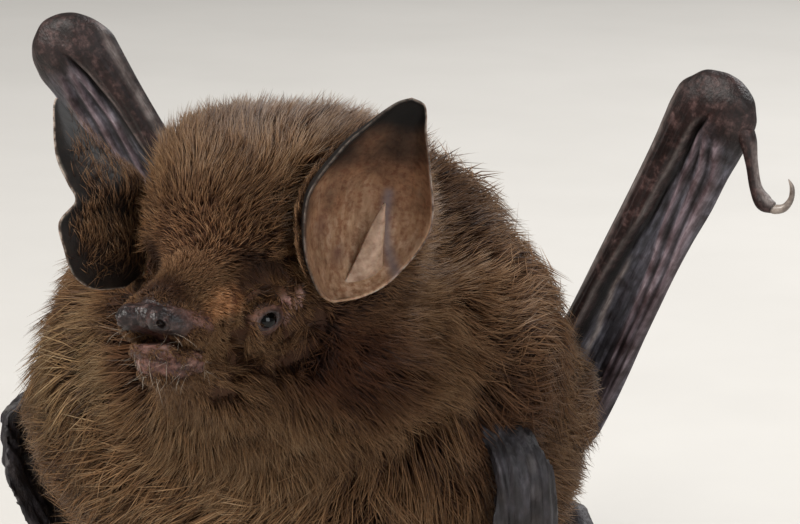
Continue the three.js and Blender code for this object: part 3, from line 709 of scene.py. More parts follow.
# where locks can root, and what they lie along
def groundOf(mesh, reference, referenceNormals, depth, onHead):
    co, no = points(mesh), normals(mesh)
    mesh.calc_loop_triangles()
    faces = np.empty(len(mesh.loop_triangles) * 3, np.int32)
    mesh.loop_triangles.foreach_get("vertices", faces)
    faces = faces.reshape(-1, 3)
    tri = co[faces]
    area = np.linalg.norm(np.cross(tri[:, 1] - tri[:, 0], tri[:, 2] - tri[:, 0]), axis=1)
    return dict(
        points=co, normals=no, faces=faces, areas=area, middles=tri.mean(1), depth=depth, onHead=onHead,
        faceDepth=depth[faces].mean(1), faceHead=onHead[faces].mean(1), tree=treeOf(reference),
        reference=reference,
        referenceNormals=referenceNormals,
    )


headShare = 1 - ramp(gapTo(inner, ["head", "lower_jaw"]), 2.6, 4.4)
bodyGround = groundOf(bodyMesh, outerPoints, outerNormals, depths, headShare)


def coatFlow(co, onHead):  # which way the coat lies, in the solids' frame
    h = toHead(co)
    x, y, z = h[:, 0], h[:, 1], h[:, 2]
    up = ramp(z, -1.5, 3)
    head = np.stack([0.06 * x, 1 + 0 * y, -0.8 * (1 - up) + 0.5 * up * (1 - ramp(y, -4, 4))], 1) @ headTurn.T
    p = co / mm
    back = ramp(p[:, 1], -16, 0)
    far = ramp(-p[:, 0], 7, 15)
    near = ramp(p[:, 0], 6, 14)
    top = ramp(p[:, 2], 25, 33)
    front = np.array([-0.8, -0.15, -0.55])
    flank = np.array([0.15, 0.55, -0.9])
    outward = np.array([-0.75, -0.1, -0.5])
    raised = np.array([0.45, 0.75, 0.25])
    rear = np.array([0.0, 0.9, -0.45])
    body = front * (1 - near)[:, None] + flank * near[:, None]
    body = body * (1 - far * 0.8)[:, None] + outward * (far * 0.8)[:, None]
    body = body * (1 - back)[:, None] + rear * back[:, None]
    lift = (top * near)[:, None]
    body = body * (1 - lift) + raised * lift
    return unit(head) * onHead[:, None] + unit(body) * (1 - onHead[:, None])


def growLocks(ground, settings):  # paths laid along the coat ring by ring, then drawn together in clumps
    count, rings = settings["count"], settings["rings"]
    weights = ground["areas"] * settings["where"](ground["middles"], ground["faceDepth"], ground["faceHead"])
    chosen = seed.choice(len(weights), count, p=weights / weights.sum())
    mixA, mixB = seed.random(count), seed.random(count)
    flip = mixA + mixB > 1
    mixA[flip], mixB[flip] = 1 - mixA[flip], 1 - mixB[flip]
    share = np.stack([1 - mixA - mixB, mixA, mixB], 1)
    tri = ground["faces"][chosen]
    root = (ground["points"][tri] * share[:, :, None]).sum(1)
    up = unit((ground["normals"][tri] * share[:, :, None]).sum(1))
    depth = (ground["depth"][tri] * share).sum(1)
    onHead = (ground["onHead"][tri] * share).sum(1)
    tree, reference, outNormals = ground["tree"], ground["reference"], ground["referenceNormals"]
    length = settings["length"] * seed.uniform(0.7, 1.3, count) * settings["lengthBy"](root, depth)
    reach = np.clip(seed.normal(settings["reach"], 0.16, count), 0.3, 1.2)
    lean = (
        swirl(root, settings["wander"], 1) * settings["sway"] + seed.normal(0, settings["stray"], (count, 3))
    )
    curl = swirl(root, 1.7, 3) * settings["curl"]
    path = [root - up * 0.05 * mm]
    here, upHere, headHere = root, up, onHead
    base = ground.get("base", -1.0)
    for ring in range(1, rings + 1):
        s = ring / rings
        flow = settings["flow"](here, headHere) + lean + curl * s
        flow = unit(flow - (flow * upHere).sum(1)[:, None] * upHere)
        here = here + flow * (length * (s**1.3 - ((ring - 1) / rings) ** 1.3))[:, None] * mm
        near = np.fromiter((tree.find(p)[1] for p in here), np.int32, count)
        upNear = outNormals[near]
        upHere = unit(upHere * 0.3 + upNear * 0.7)
        headHere = ground["onHead"][near]
        room = np.maximum(np.minimum(ground["depth"][near], depth * 1.5 + 0.25), settings.get("least", 0.0))
        height = ((here - reference[near]) * upNear).sum(1)
        target = (base * ground["depth"][near] + room * reach * s ** settings["rise"]) * mm
        target = np.minimum(
            target, (base + 1.2) * ground["depth"][near] * mm + (0.05 + settings.get("least", 0.0)) * mm
        )
        here = here + upNear * (target - height)[:, None]
        path.append(here)
    path = np.stack(path, 1)
    heads = seed.choice(count, max(1, count // settings["perClump"]), replace=False)
    clump = treeOf(root[heads])
    owner = heads[np.fromiter((clump.find(p)[1] for p in root), np.int32, count)]
    reachOf = seed.normal(0, settings["uneven"], count)[owner]
    pulls = np.clip(settings["clump"] * seed.uniform(0.5, 1.3, count), 0, 0.95)
    for ring in range(1, rings + 1):
        pull = (pulls * (ring / rings) ** 1.4)[:, None]
        target = path[owner, ring] + (root - root[owner]) * 0.25
        longer = (reachOf * depth * mm * (ring / rings))[:, None]
        path[:, ring] = path[:, ring] * (1 - pull) + target * pull + up * longer
    path[:, :, 2] = np.maximum(path[:, :, 2], 0.06 * mm)
    tone = (
        0.5 + 0.24 * seed.normal(size=count) + 0.2 * swirl(root, 2.2, 5)[:, 0]
        + seed.normal(0, 0.12, count)[owner]
    )
    tone = np.clip(tone, 0, 1)
    return path, up, tone, root


def lockMesh(name, ground, settings, material):
    spikes(name, *growLocks(ground, settings), settings, material)


def spikes(name, path, up, tone, root, settings, material):  # a thin three-sided lock along each path
    count, rings = len(path), settings["rings"]
    width = settings["width"] * seed.uniform(0.7, 1.3, count) / 2 * mm
    along = unit(np.gradient(path, axis=1))
    across = unit(np.cross(along, up[:, None, :]))
    over = unit(np.cross(across, along))
    taper = np.interp(np.arange(rings) / rings, [0, 0.35, 1], [0.75, 1, 0.3])
    turned = [(-1.0, -0.35), (1.0, -0.35), (0.0, 0.7)]
    vertexCount = rings * 3 + 1
    co = np.empty((count, vertexCount, 3))
    for ring in range(rings):
        for k, (a, b) in enumerate(turned):
            sized = (across[:, ring] * a + over[:, ring] * b) * (width * taper[ring])[:, None]
            co[:, ring * 3 + k] = path[:, ring] + sized
    co[:, -1] = path[:, rings]
    co[:, :, 2] = np.maximum(co[:, :, 2], 0.01 * mm)
    faces = [(0, 1, 2)]
    for ring in range(rings - 1):
        for k in range(3):
            a, b = ring * 3 + k, ring * 3 + (k + 1) % 3
            faces += [(a, a + 3, b), (b, a + 3, b + 3)]
    last = (rings - 1) * 3
    faces += [(last + k, vertexCount - 1, last + (k + 1) % 3) for k in range(3)]
    faces = np.array(faces, np.int32)
    allFaces = (faces[None] + (np.arange(count) * vertexCount)[:, None, None]).reshape(-1)
    mesh = bpy.data.meshes.new(name)
    mesh.vertices.add(count * vertexCount)
    mesh.vertices.foreach_set("co", co.astype(np.float32).ravel())
    mesh.loops.add(len(allFaces))
    mesh.loops.foreach_set("vertex_index", allFaces)
    mesh.polygons.add(len(allFaces) // 3)
    mesh.polygons.foreach_set("loop_start", np.arange(0, len(allFaces), 3, dtype=np.int32))
    mesh.update(calc_edges=True)
    mesh.shade_smooth()
    level = np.append(np.repeat(np.arange(rings) / rings, 3), 1.0)
    lift = settings.get("rootTone", 0.0)
    setShare(mesh, "tipShare", np.tile(lift + (1 - lift) * level, count))
    setShare(mesh, "lockTone", np.repeat(tone, vertexCount))
    # each lock is a patch 0.003 across at its root's place on the ground's own unwrap
    ray = unit(root - np.array(settings["unwrapFrom"]) * mm)
    turn = np.arctan2(ray[:, 0], -ray[:, 1]) / (2 * math.pi) + 0.5
    flat = 0.002 + 0.993 * np.stack([turn, np.arccos(np.clip(ray[:, 2], -1, 1)) / math.pi], 1)
    acrossShare = np.append(np.tile([0.0, 1.0, 0.5], rings), 0.5)
    patch = np.stack([acrossShare, level], 1) * 0.003
    cornerUv = flat[:, None, :] + patch[None]
    uv = mesh.uv_layers.new(name="OFBake")
    uv.data.foreach_set("uv", cornerUv.reshape(-1, 2)[allFaces].astype(np.float32).ravel())
    print("coat piece", name, len(allFaces) // 3, "triangles")
    placed(name, mesh, material)


def faceZone(co):  # the face in front of the ears
    return mirroredHead(co)[:, 1] < -2.5


def clearOfMouth(co):  # 0 on the bare nose and in the mouth, where nothing grows
    h = mirroredHead(co)
    middle, half = mouthLine(h[:, 1])
    return (
        ramp(np.abs(h[:, 2] - middle) / half, 1.1, 1.8)
        * ((h[:, 1] > -11.2 - 0.9 * ramp(h[:, 2], -1.7, -1.1)) | (h[:, 2] < -3.7))
    )


def clearOfEye(co):  # 0 on the eye and its lids
    ring, height = eyeRing(mirroredHead(co))
    return np.maximum(ramp(ring, 0.6, 0.78), np.abs(height) > 2.2)


headCoat = dict(
    rings=2, sway=0.35, wander=2.6, rise=0.85, reach=0.9, curl=0.4, uneven=0.07, flow=coatFlow,
    unwrapFrom=headMm(0, 2, 0)
)
bodyCoat = dict(
    rings=3, sway=0.4, wander=4.5, rise=0.8, reach=0.92, curl=0.6, uneven=0.07, flow=coatFlow,
    unwrapFrom=(-1.5, -4, 17)
)
coatPieces = dict(
    faceFur=dict(
        headCoat, count=12000, length=1.0, width=0.052, clump=0.3, perClump=8, stray=0.35, rootTone=0.35,
        least=0.1,
        lengthBy=lambda root, depth: np.clip(depth / 0.8, 0.3, 1.3),
        where=lambda co, depth, head: head * faceZone(co) * (mirroredHead(co)[:, 1] < -8)
        * (ramp(depth, 0.0, 0.2) + 0.09) * clearOfMouth(co),
    ),
    browFur=dict(
        headCoat, count=19600, length=1.15, width=0.058, clump=0.35, perClump=9, stray=0.32, rootTone=0.3,
        least=0.1,
        lengthBy=lambda root, depth: np.clip(depth / 0.8, 0.35, 2.4),
        where=lambda co, depth, head: head * faceZone(co) * (mirroredHead(co)[:, 1] >= -8.2)
        * (ramp(depth, 0.0, 0.25) + 0.1) * clearOfEye(co),
    ),
    crownFur=dict(
        headCoat, count=17600, length=1.8, width=0.075, clump=0.5, perClump=11, stray=0.4,
        lengthBy=lambda root, depth: np.clip(depth / 2, 0.4, 1.2),
        where=lambda co, depth, head: head * ~faceZone(co) * (toHead(co)[:, 2] >= 2.0)
        * (0.35 + 0.65 * (toHead(co)[:, 1] < 4)),
    ),
    cheekFur=dict(
        headCoat, count=17600, length=2.0, width=0.075, clump=0.5, perClump=11, stray=0.3,
        lengthBy=lambda root, depth: np.clip(depth / 1.3, 0.3, 1.3),
        where=lambda co, depth, head: head * ~faceZone(co) * (toHead(co)[:, 2] < 2.0)
        * (0.5 + 0.5 * (toHead(co)[:, 0] > -2)),
    ),
    chestFur=dict(
        bodyCoat, count=12400, length=4.6, width=0.115, clump=0.6, perClump=10, stray=0.3,
        lengthBy=lambda root, depth: 1.0,
        where=lambda co, depth, head: (1 - head) * (co[:, 1] < -12 * mm) * (co[:, 2] > 12 * mm)
        * (co[:, 0] < 14 * mm),
    ),
    shoulderFur=dict(
        bodyCoat, count=12400, length=4.0, width=0.115, clump=0.6, perClump=10, stray=0.35,
        lengthBy=lambda root, depth: np.clip(depth / 2.5, 0.5, 1.1),
        where=lambda co, depth, head: (1 - head) * (co[:, 0] > 5 * mm) * (co[:, 1] > -15 * mm)
        * (co[:, 2] > 13 * mm),
    ),
    napeFur=dict(
        bodyCoat, count=8200, length=3.6, width=0.125, clump=0.55, perClump=10, stray=0.4,
        lengthBy=lambda root, depth: np.clip(depth / 2.5, 0.5, 1.1),
        where=lambda co, depth, head: (1 - head) * (co[:, 0] <= 6 * mm) * (co[:, 1] > -14 * mm)
        * (co[:, 2] > 22 * mm),
    ),
    rumpFur=dict(
        bodyCoat, rings=2, count=17000, length=3.8, width=0.17, clump=0.55, perClump=12, stray=0.22,
        lengthBy=lambda root, depth: np.clip(depth / 2.5, 0.5, 1.1),
        where=lambda co, depth, head: (1 - head) * (co[:, 1] > -13 * mm) * (co[:, 2] <= 24 * mm),
    ),
    bellyFur=dict(
        bodyCoat, rings=2, count=7500, length=4.0, width=0.17, clump=0.6, perClump=12, stray=0.2,
        lengthBy=lambda root, depth: 1.0,
        where=lambda co, depth, head: (1 - head) * (co[:, 1] < -8 * mm) * (co[:, 2] <= 14 * mm),
    ),
)
print("stage: coat")
coatFur = furMaterial()
for name, settings in coatPieces.items():
    lockMesh(name, bodyGround, settings, coatFur)

# each patch of whiskers: place, spread, count, length in mm, which way
whiskers = dict(rings=4, width=0.024, unwrapFrom=headMm(0, 2, 0), patches=[
    ((1.6, -11.0, -2.9), 0.6, 7, 1.9, (0.6, -0.7, -0.1)),
    ((1.2, -10.3, -5.0), 0.8, 9, 1.5, (0.2, -0.9, -0.3)),
    ((0.7, -10.6, -5.8), 0.9, 10, 1.3, (0.2, -0.8, -0.6)),
    ((3.0, -8.2, -5.2), 0.9, 9, 1.1, (0.7, -0.1, -0.4)),
])
paths = []
skinTree = treeOf(inner)
for place, wide, count, long, lead in whiskers["patches"]:
    for side in sideWords:
        flip = np.array([side, 1, 1])
        for _ in range(count):
            start = fromHead((np.array(place) * flip + seed.normal(0, wide, 3) * [0.7, 1, 0.6])[None])[0]
            start = inner[skinTree.find(start)[1]]
            way = unit(headTurn @ (unit(np.array(lead)) * flip + seed.normal(0, 0.5, 3)))
            sag = np.array([0, 0.25, -0.4]) + seed.normal(0, 0.7, 3)
            reach = long * seed.uniform(0.5, 1.15) * mm
            t = np.linspace(0, 1, 5)[:, None]
            paths.append(start + (way * t + sag * 0.45 * t**2) * reach)
paths = np.array(paths)
hairTone = np.clip(seed.normal(0.85, 0.15, len(paths)), 0, 1)
# Whisker: one stiff tapering hair of horn, pale and a little shiny
whiskerHair = simpleMaterial("whiskerHair", "#75685a", "#b3a797", 0.8, 0.45)
spikes(
    "whiskers", paths, np.tile([0.0, 0.0, 1.0], (len(paths), 1)), hairTone, paths[:, 0], whiskers, whiskerHair
)


def softLine(values, v):  # a smooth curve through evenly spaced values
    place = np.clip(v, 0, 1) * (len(values) - 1)
    index = np.minimum(place.astype(int), len(values) - 2)
    t = place - index
    padded = np.array([2 * values[0] - values[1], *values, 2 * values[-1] - values[-2]])
    p0, p1, p2, p3 = (padded[index + k] for k in range(4))
    return 0.5 * (
        2 * p1 + (p2 - p0) * t + (2 * p0 - 5 * p1 + 4 * p2 - p3) * t**2 + (3 * p1 - p0 - 3 * p2 + p3) * t**3
    )


def softPath(path, v):  # a smooth curve through evenly spaced places
    path = np.array(path, float)
    return np.stack([softLine(path[:, k], v) for k in range(3)], 1)


wingShape = dict(
    shift=(-1.5574, -9.0442, 0),  # from the animal's middle to the frame's origin
    knuckle=(25.1, 13.2, 39.4), wrist=(22, 13.6, 41.6), elbow=(7.6, 19.8, 16.2), rightRise=0.9,
    around=160, along=190, domeHeight=3.4, length=29.8,
    # millimetres across the wing, every 3 mm from 3 above the wrist to 30 below it
    inner=[-1.2, -1.22, -1.06, -0.97, -0.93, -0.92, -0.9, -0.88, -0.9, -0.95, -1.0, -1.0],
    crease=[3.0, 1.9, 1.57, 1.42, 1.3, 1.0, 0.8, 0.75, 0.7, 0.6, 0.5, 0.4],
    fifth=[2.6, 2.05, 2.15, 2.2, 2.45, 2.9, 3.15, 3.3, 3.4, 3.5, 3.5, 3.5],
    fourth=[2.9, 2.5, 2.98, 3.2, 3.36, 3.6, 3.72, 3.8, 3.9, 3.95, 4.0, 4.0],
    third=[3.4, 3.4, 4.05, 4.12, 4.16, 4.3, 4.3, 4.3, 4.35, 4.35, 4.35, 4.35],
    outer=[5.2, 5.1, 4.87, 4.84, 4.65, 4.58, 4.62, 4.68, 4.8, 4.85, 4.8, 4.8],
    freeEdge=[1.3, 1.3, 1.3, 1.3, 1.3, 1.25, 1.22, 1.3, 1.48, 1.6, 1.7, 1.8],
)


def wingLine(name, l):
    return softLine(wingShape[name], (l + 3) / 33)


def wingAxes(side):  # the folded wing's upper end, and which way it runs, widens and faces
    flip, shift = np.array([side, 1, 1]), np.array(wingShape["shift"])
    rise = np.array([0, 0, wingShape["rightRise"] if side < 0 else 0])
    top = np.array(wingShape["wrist"]) * flip + rise + shift
    base = np.array(wingShape["knuckle"]) * flip + rise + shift
    bottom = np.array(wingShape["elbow"]) * flip + shift
    axis = unit(bottom - top)
    across = unit((base - top) - ((base - top) @ axis) * axis)
    return top, axis, across, np.cross(axis, across) * side


def wingHeight(a, l):  # half thickness and middle of the folded wing, mm across and along it
    inner, crease = wingLine("inner", l), wingLine("crease", l)
    arm = 1.1 * np.sqrt(np.clip(1 - ((a - (inner + crease) / 2) / ((crease - inner) / 2 + 0.06)) ** 2, 0, 1))
    hand = 0.25 + 0.3 * bell(a - wingLine("fifth", l), 0.26) + 0.36 * bell(a - wingLine("fourth", l), 0.3)
    hand = (hand + 0.5 * bell(a - wingLine("third", l), 0.36)) * ramp(a, crease - 0.3, crease + 0.15)
    dome = 1.55 * np.sqrt(np.clip(1 - ((a - 2) / 3.7) ** 2, 0, 1))
    below = ramp(l, -1.6 + 0.9 * (2.3 - np.minimum(a, 2.3)), 4.5)
    thick = dome * (1 - below) + np.maximum(arm, hand) * below
    groove = bell(a - crease, 0.2) * ramp(l, -1.8, 1.0)
    thick = np.maximum(thick * (1 - 0.5 * groove), 0.12)
    middle = -(0.05 + 1.45 * np.clip(l, 0, 30) / 30) * ramp(a, crease - 0.2, crease + 0.9) * below
    return thick, middle


def wingPoints(side, u, v):  # u round the folded wing, v from its rounded top to its lower end
    top, axis, across, facing = wingAxes(side)
    height, length = wingShape["domeHeight"], wingShape["length"]
    cap = 0.15
    turn = np.clip(1 - v / cap, 0, 1) * math.pi / 2
    l = np.where(v < cap, -0.2 - height * np.sin(turn), -0.2 + (v - cap) / (1 - cap) * (length + 0.2))
    scale = np.cos(turn) * np.sqrt(1 - (1 - np.clip((1 - v) / 0.1, 0, 1)) ** 2)
    inner, outer = wingLine("inner", np.maximum(l, -0.2)), wingLine("outer", np.maximum(l, -0.2))
    theta = u * 2 * math.pi
    a = (inner + outer) / 2 + (outer - inner) / 2 * scale * np.cos(theta)
    l = l + 0.1 * (2 - a) * (1 - ramp(l, -3, 3))
    thick, middle = wingHeight(a, l)
    close = np.sqrt(1 - np.abs(np.cos(theta)) ** 5) * scale
    front = np.sin(theta) > 0
    d = middle + np.where(front, thick, -0.75 * thick - 0.04) * close
    wrinkle = 0.035 * np.sin(a * 9 + 1.3 * np.sin(l * 0.55)) + 0.03 * np.sin(a * 17 + 2 * np.sin(l * 0.4))
    d = d + np.where(front, 1, -1) * wrinkle * close * ramp(l, -1, 2)
    p = top + across * a[:, None] + axis * l[:, None] + facing * d[:, None]
    knobbly = swirl(p * mm, 0.75, 7) * (0.07 * (1 - ramp(l, -1, 3)))[:, None]
    return (p + knobbly) * mm


def setPlace(mesh, name, values):
    layer = mesh.attributes.new(name, "FLOAT_VECTOR", "POINT")
    layer.data.foreach_set("vector", np.ascontiguousarray(values, np.float32).ravel())


def dressMembrane(piece, grain, bone, arm, edge, dark=0.0):  # its colours' shares, material and slot
    mesh = piece.data
    setPlace(mesh, "grainPlace", grain)
    for name, values in (("boneShare", bone), ("armShare", arm), ("paleEdgeAndHighlightShare", edge), ("darkToneAndCreaseShadeShare", dark)):
        setShare(mesh, name, np.broadcast_to(values, len(mesh.vertices)))
    mesh.shade_smooth()
    mesh.materials.clear()
    mesh.materials.append(wingLeather)
    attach(piece, "root")


thumbs = dict(
    left=[
        (24.3, 3.7, 40.6), (24.95, 3.5, 39.6), (25.29, 3.4, 38.08), (25.6, 3.4, 36.5), (26.15, 3.4, 35.55),
        (26.8, 3.4, 35.2)
    ],
    right=[
        (-26.7, 5.7, 40.6), (-26.9, 6.3, 39.9), (-27.0, 6.4, 38.6), (-27.0, 6.7, 37.2), (-27.1, 7.2, 36.2),
        (-27.15, 7.7, 35.95)
    ],
    radii=[0.75, 0.6, 0.42, 0.42, 0.58, 0.4],
    leftClaw=[
        (26.55, 3.4, 35.25), (26.95, 3.4, 35.12), (27.6, 3.4, 35.28), (28.05, 3.4, 35.9), (28.1, 3.4, 36.65),
        (27.85, 3.4, 37.2)
    ],
    rightClaw=[
        (-27.15, 7.5, 36.0), (-27.2, 7.9, 35.85), (-27.3, 8.5, 36.0), (-27.4, 8.9, 36.5), (-27.4, 8.95, 37.2),
        (-27.4, 8.8, 37.7)
    ],
    clawRadii=[0.3, 0.33, 0.27, 0.2, 0.16, 0.04],
)


# a ring drawn out along a curve and closed at both ends
def drawnOut(name, path, radii, sides, material, steps=26):
    v = np.linspace(0, 1, steps)
    line, sizes = softPath(path, v) * mm, softLine(radii, v)
    ways = unit(np.gradient(line, axis=0))
    bm = bmesh.new()
    ring = bmesh.ops.create_circle(bm, segments=sides, radius=mm)["verts"]
    edges, turned = list(bm.edges), Vector((0, 0, 1))
    for step in range(steps):
        if step:
            made = bmesh.ops.extrude_edge_only(bm, edges=edges)["geom"]
            ring = [g for g in made if isinstance(g, bmesh.types.BMVert)]
            edges = [g for g in made if isinstance(g, bmesh.types.BMEdge) and len(g.link_faces) == 1]
        before = Vector(line[step - 1]) if step else Vector()
        bmesh.ops.translate(bm, verts=ring, vec=-before)
        turn = turned.rotation_difference(Vector(ways[step])).to_matrix()
        bmesh.ops.rotate(bm, verts=ring, cent=(0, 0, 0), matrix=turn)
        grown = sizes[step] / (sizes[step - 1] if step else 1)
        bmesh.ops.scale(bm, verts=ring, vec=(grown, grown, grown))
        bmesh.ops.translate(bm, verts=ring, vec=Vector(line[step]))
        turned = Vector(ways[step])
    bmesh.ops.holes_fill(bm, edges=bm.edges)
    bmesh.ops.recalc_face_normals(bm, faces=bm.faces)
    mesh = meshFrom(bm, name)
    mesh.shade_smooth()
    return placed(name, mesh, material)


def gridSheet(across, along):  # a flat grid and where each of its points lies on it, 0 to 1
    bm = bmesh.new()
    bmesh.ops.create_grid(bm, x_segments=across, y_segments=along, size=0.5)
    return bm, np.array([v.co[:2] for v in bm.verts]) + 0.5


# a solid's own skin: its voxels in mm, how far the grain is drawn out, and where each colour shows
folds = dict(
    flank_membrane=dict(name="flankFold", voxel=0.24, grain=0.2, bone=0.0, arm=0.35, edge=0.25, dark=0.62),
    wing_tip=dict(name="wingTip", voxel=0.2, grain=0.3, bone=0.0, arm=0.5, edge=0, dark=0.15),
    shank=dict(name="shank", voxel=0.2, grain=0.4, bone=0.2, arm=0.7, edge=0, dark=0.15),
    foot=dict(name="foot", voxel=0.13, grain=1.0, bone=0.55, arm=0.3, edge=0, dark=0.15),
    tail_membrane=dict(name="tailMembrane", voxel=0.24, grain=1.0, bone=0.0, arm=0.35, edge=0, dark=0.15),
)
fingers = dict(fifth=0.22, fourth=0.26, third=0.32)  # mm that each one's colour spreads to either side
wingNodes = ("forearm", "wrist", "finger_3", "finger_4", "finger_5", "hand_membrane")
print("stage: wings")
wingLeather = wingMaterial()
# Claw: hard horn, dark at the root and pale and smooth at the point
clawHorn = simpleMaterial("clawHorn", "#4f423c", "#a0948a", 0.9, 0.35)
for side, word in sideWords.items():
    low = word.lower()
    bm, uvs = gridSheet(wingShape["around"], wingShape["along"])
    for vertex, p in zip(bm.verts, wingPoints(side, uvs[:, 0], uvs[:, 1])):
        vertex.co = p
    bmesh.ops.remove_doubles(bm, verts=bm.verts, dist=0.004 * mm)
    bmesh.ops.recalc_face_normals(bm, faces=bm.faces)
    mesh = meshFrom(bm, f"wing{word}")
    wing = placed(f"wing{word}", mesh, wingLeather)
    co = points(mesh)
    top, axis, across, facing = wingAxes(side)
    local = co / mm - top
    a, l, d = local @ across, local @ axis, local @ facing
    crease, inner = wingLine("crease", l), wingLine("inner", l)
    wander = 0.05 * np.sin(l * 1.1) + 0.04 * np.sin(l * 2.3 + 1)
    arm = np.maximum(
        1 - ramp(a - wander, crease - 0.1, crease + 0.12),
        1 - ramp(l + 0.4 * swirl(co, 0.9, 3)[:, 0], -0.8, 1.4)
    )
    bone = np.max([bell(a - wingLine(name, l), width) for name, width in fingers.items()], 0) * (1 - arm)
    # painted shade: dark along the crease by the arm and in lines beside the fifth and fourth fingers' ridges
    dark = np.max([
        bell(a - crease - 0.06, 0.2) * ramp(l, -1.4, 0.5),
        0.65 * bell(a - wingLine("fifth", l) - 0.36, 0.12) * ramp(l, 0.8, 2),
        0.75 * bell(a - wingLine("fourth", l) - 0.38, 0.13) * ramp(l, 0.8, 2),
    ], 0)
    # pale along the membrane's free edge; painted highlights in pale lines along the forearm's inner outline
    # and its side by the crease
    free = bell(a - wingLine("freeEdge", l) - wander, 0.13) * ramp(l, 12, 14)
    rim = (
        0.5 * bell(a - inner - 0.35, 0.2) * ramp(l, -2, 0)
        + 0.3 * bell(a - crease + 0.35, 0.12) * ramp(l, -1, 1)
    )
    grain = (local - axis * (l * 0.86)[:, None]) * mm
    dressMembrane(wing, grain, bone, arm, np.maximum(free, rim), dark)
    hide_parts(*[f"{node}_{low}" for node in wingNodes])
    thumb = drawnOut(f"thumb{word}", thumbs[low], thumbs["radii"], 20, wingLeather, 40)
    co = points(thumb.data)
    # painted highlight on the side of the thumb that faces up and outwards, below its root
    thumbHighlight = (
        ramp(normals(thumb.data) @ unit(np.array([0.8 * side, -0.2, 0.5])), 0.45, 0.9)
        * (1 - ramp(co[:, 2] / mm, 38.8, 39.8))
    )
    dressMembrane(thumb, co * [1, 1, 0.4], 0.25, 1.0, 0.6 * thumbHighlight)
    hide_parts(f"thumb_{low}")
    claw = drawnOut(f"thumbClaw{word}", thumbs[f"{low}Claw"], thumbs["clawRadii"], 12, clawHorn)
    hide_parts(f"thumb_claw_{low}")

    for part, form in folds.items():
        settings = dict(bridge=0.05, voxel=form["voxel"], smooth=5)
        fold = fusedSkin(form["name"] + word, [f"{part}_{low}"], settings)
        mesh = fold.data
        co, no = points(mesh), normals(mesh)
        p = co / mm
        if part == "flank_membrane":  # pleats that run down it, and its upper end drawn into the coat
            bend = 0.8 * np.sin(p[:, 2] * 0.7) + 0.7 * np.sin(p[:, 2] * 0.31 + 1)
            wave = np.sin((p[:, 1] * 1.5 + p[:, 0] * side) * 4.4 + bend) * 0.12
            wave += np.sin((p[:, 1] - p[:, 0] * 0.6) * 8.6 + 1.1 * np.sin(p[:, 2] * 1.1)) * 0.07
            co = co + no * wave[:, None] * mm
            sink = ramp(p[:, 2], 19, 26) ** 1.3
            co = co + np.array([-side * 3.4, 1.6, 0]) * sink[:, None] * mm
            setPoints(mesh, co)
        if part == "tail_membrane":
            wave = np.sin(p[:, 1] * 2.2 + 0.6 * np.sin(p[:, 0] * 0.8)) * 0.06
            co = co + no * wave[:, None] * mm
            co[:, 2] = np.maximum(co[:, 2], 0.0)
            setPoints(mesh, co)
        # pale patches: painted highlights where the flank fold's pleats catch the light; 0 on the other
        # pieces
        edge = form["edge"] * ramp(swirl(co, 0.9, 6)[:, 0], 0.3, 0.8)
        dressMembrane(fold, co * [1, 1, form["grain"]], form["bone"], form["arm"], edge, form["dark"])
        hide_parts(f"{part}_{low}")
    print("wing faces", len(wing.data.polygons))
tail = fusedSkin("tailSkin", ["tail"], dict(bridge=0.05, voxel=0.2, smooth=4))
dressMembrane(tail, points(tail.data), 0.2, 0.5, 0.0)
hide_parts("tail")

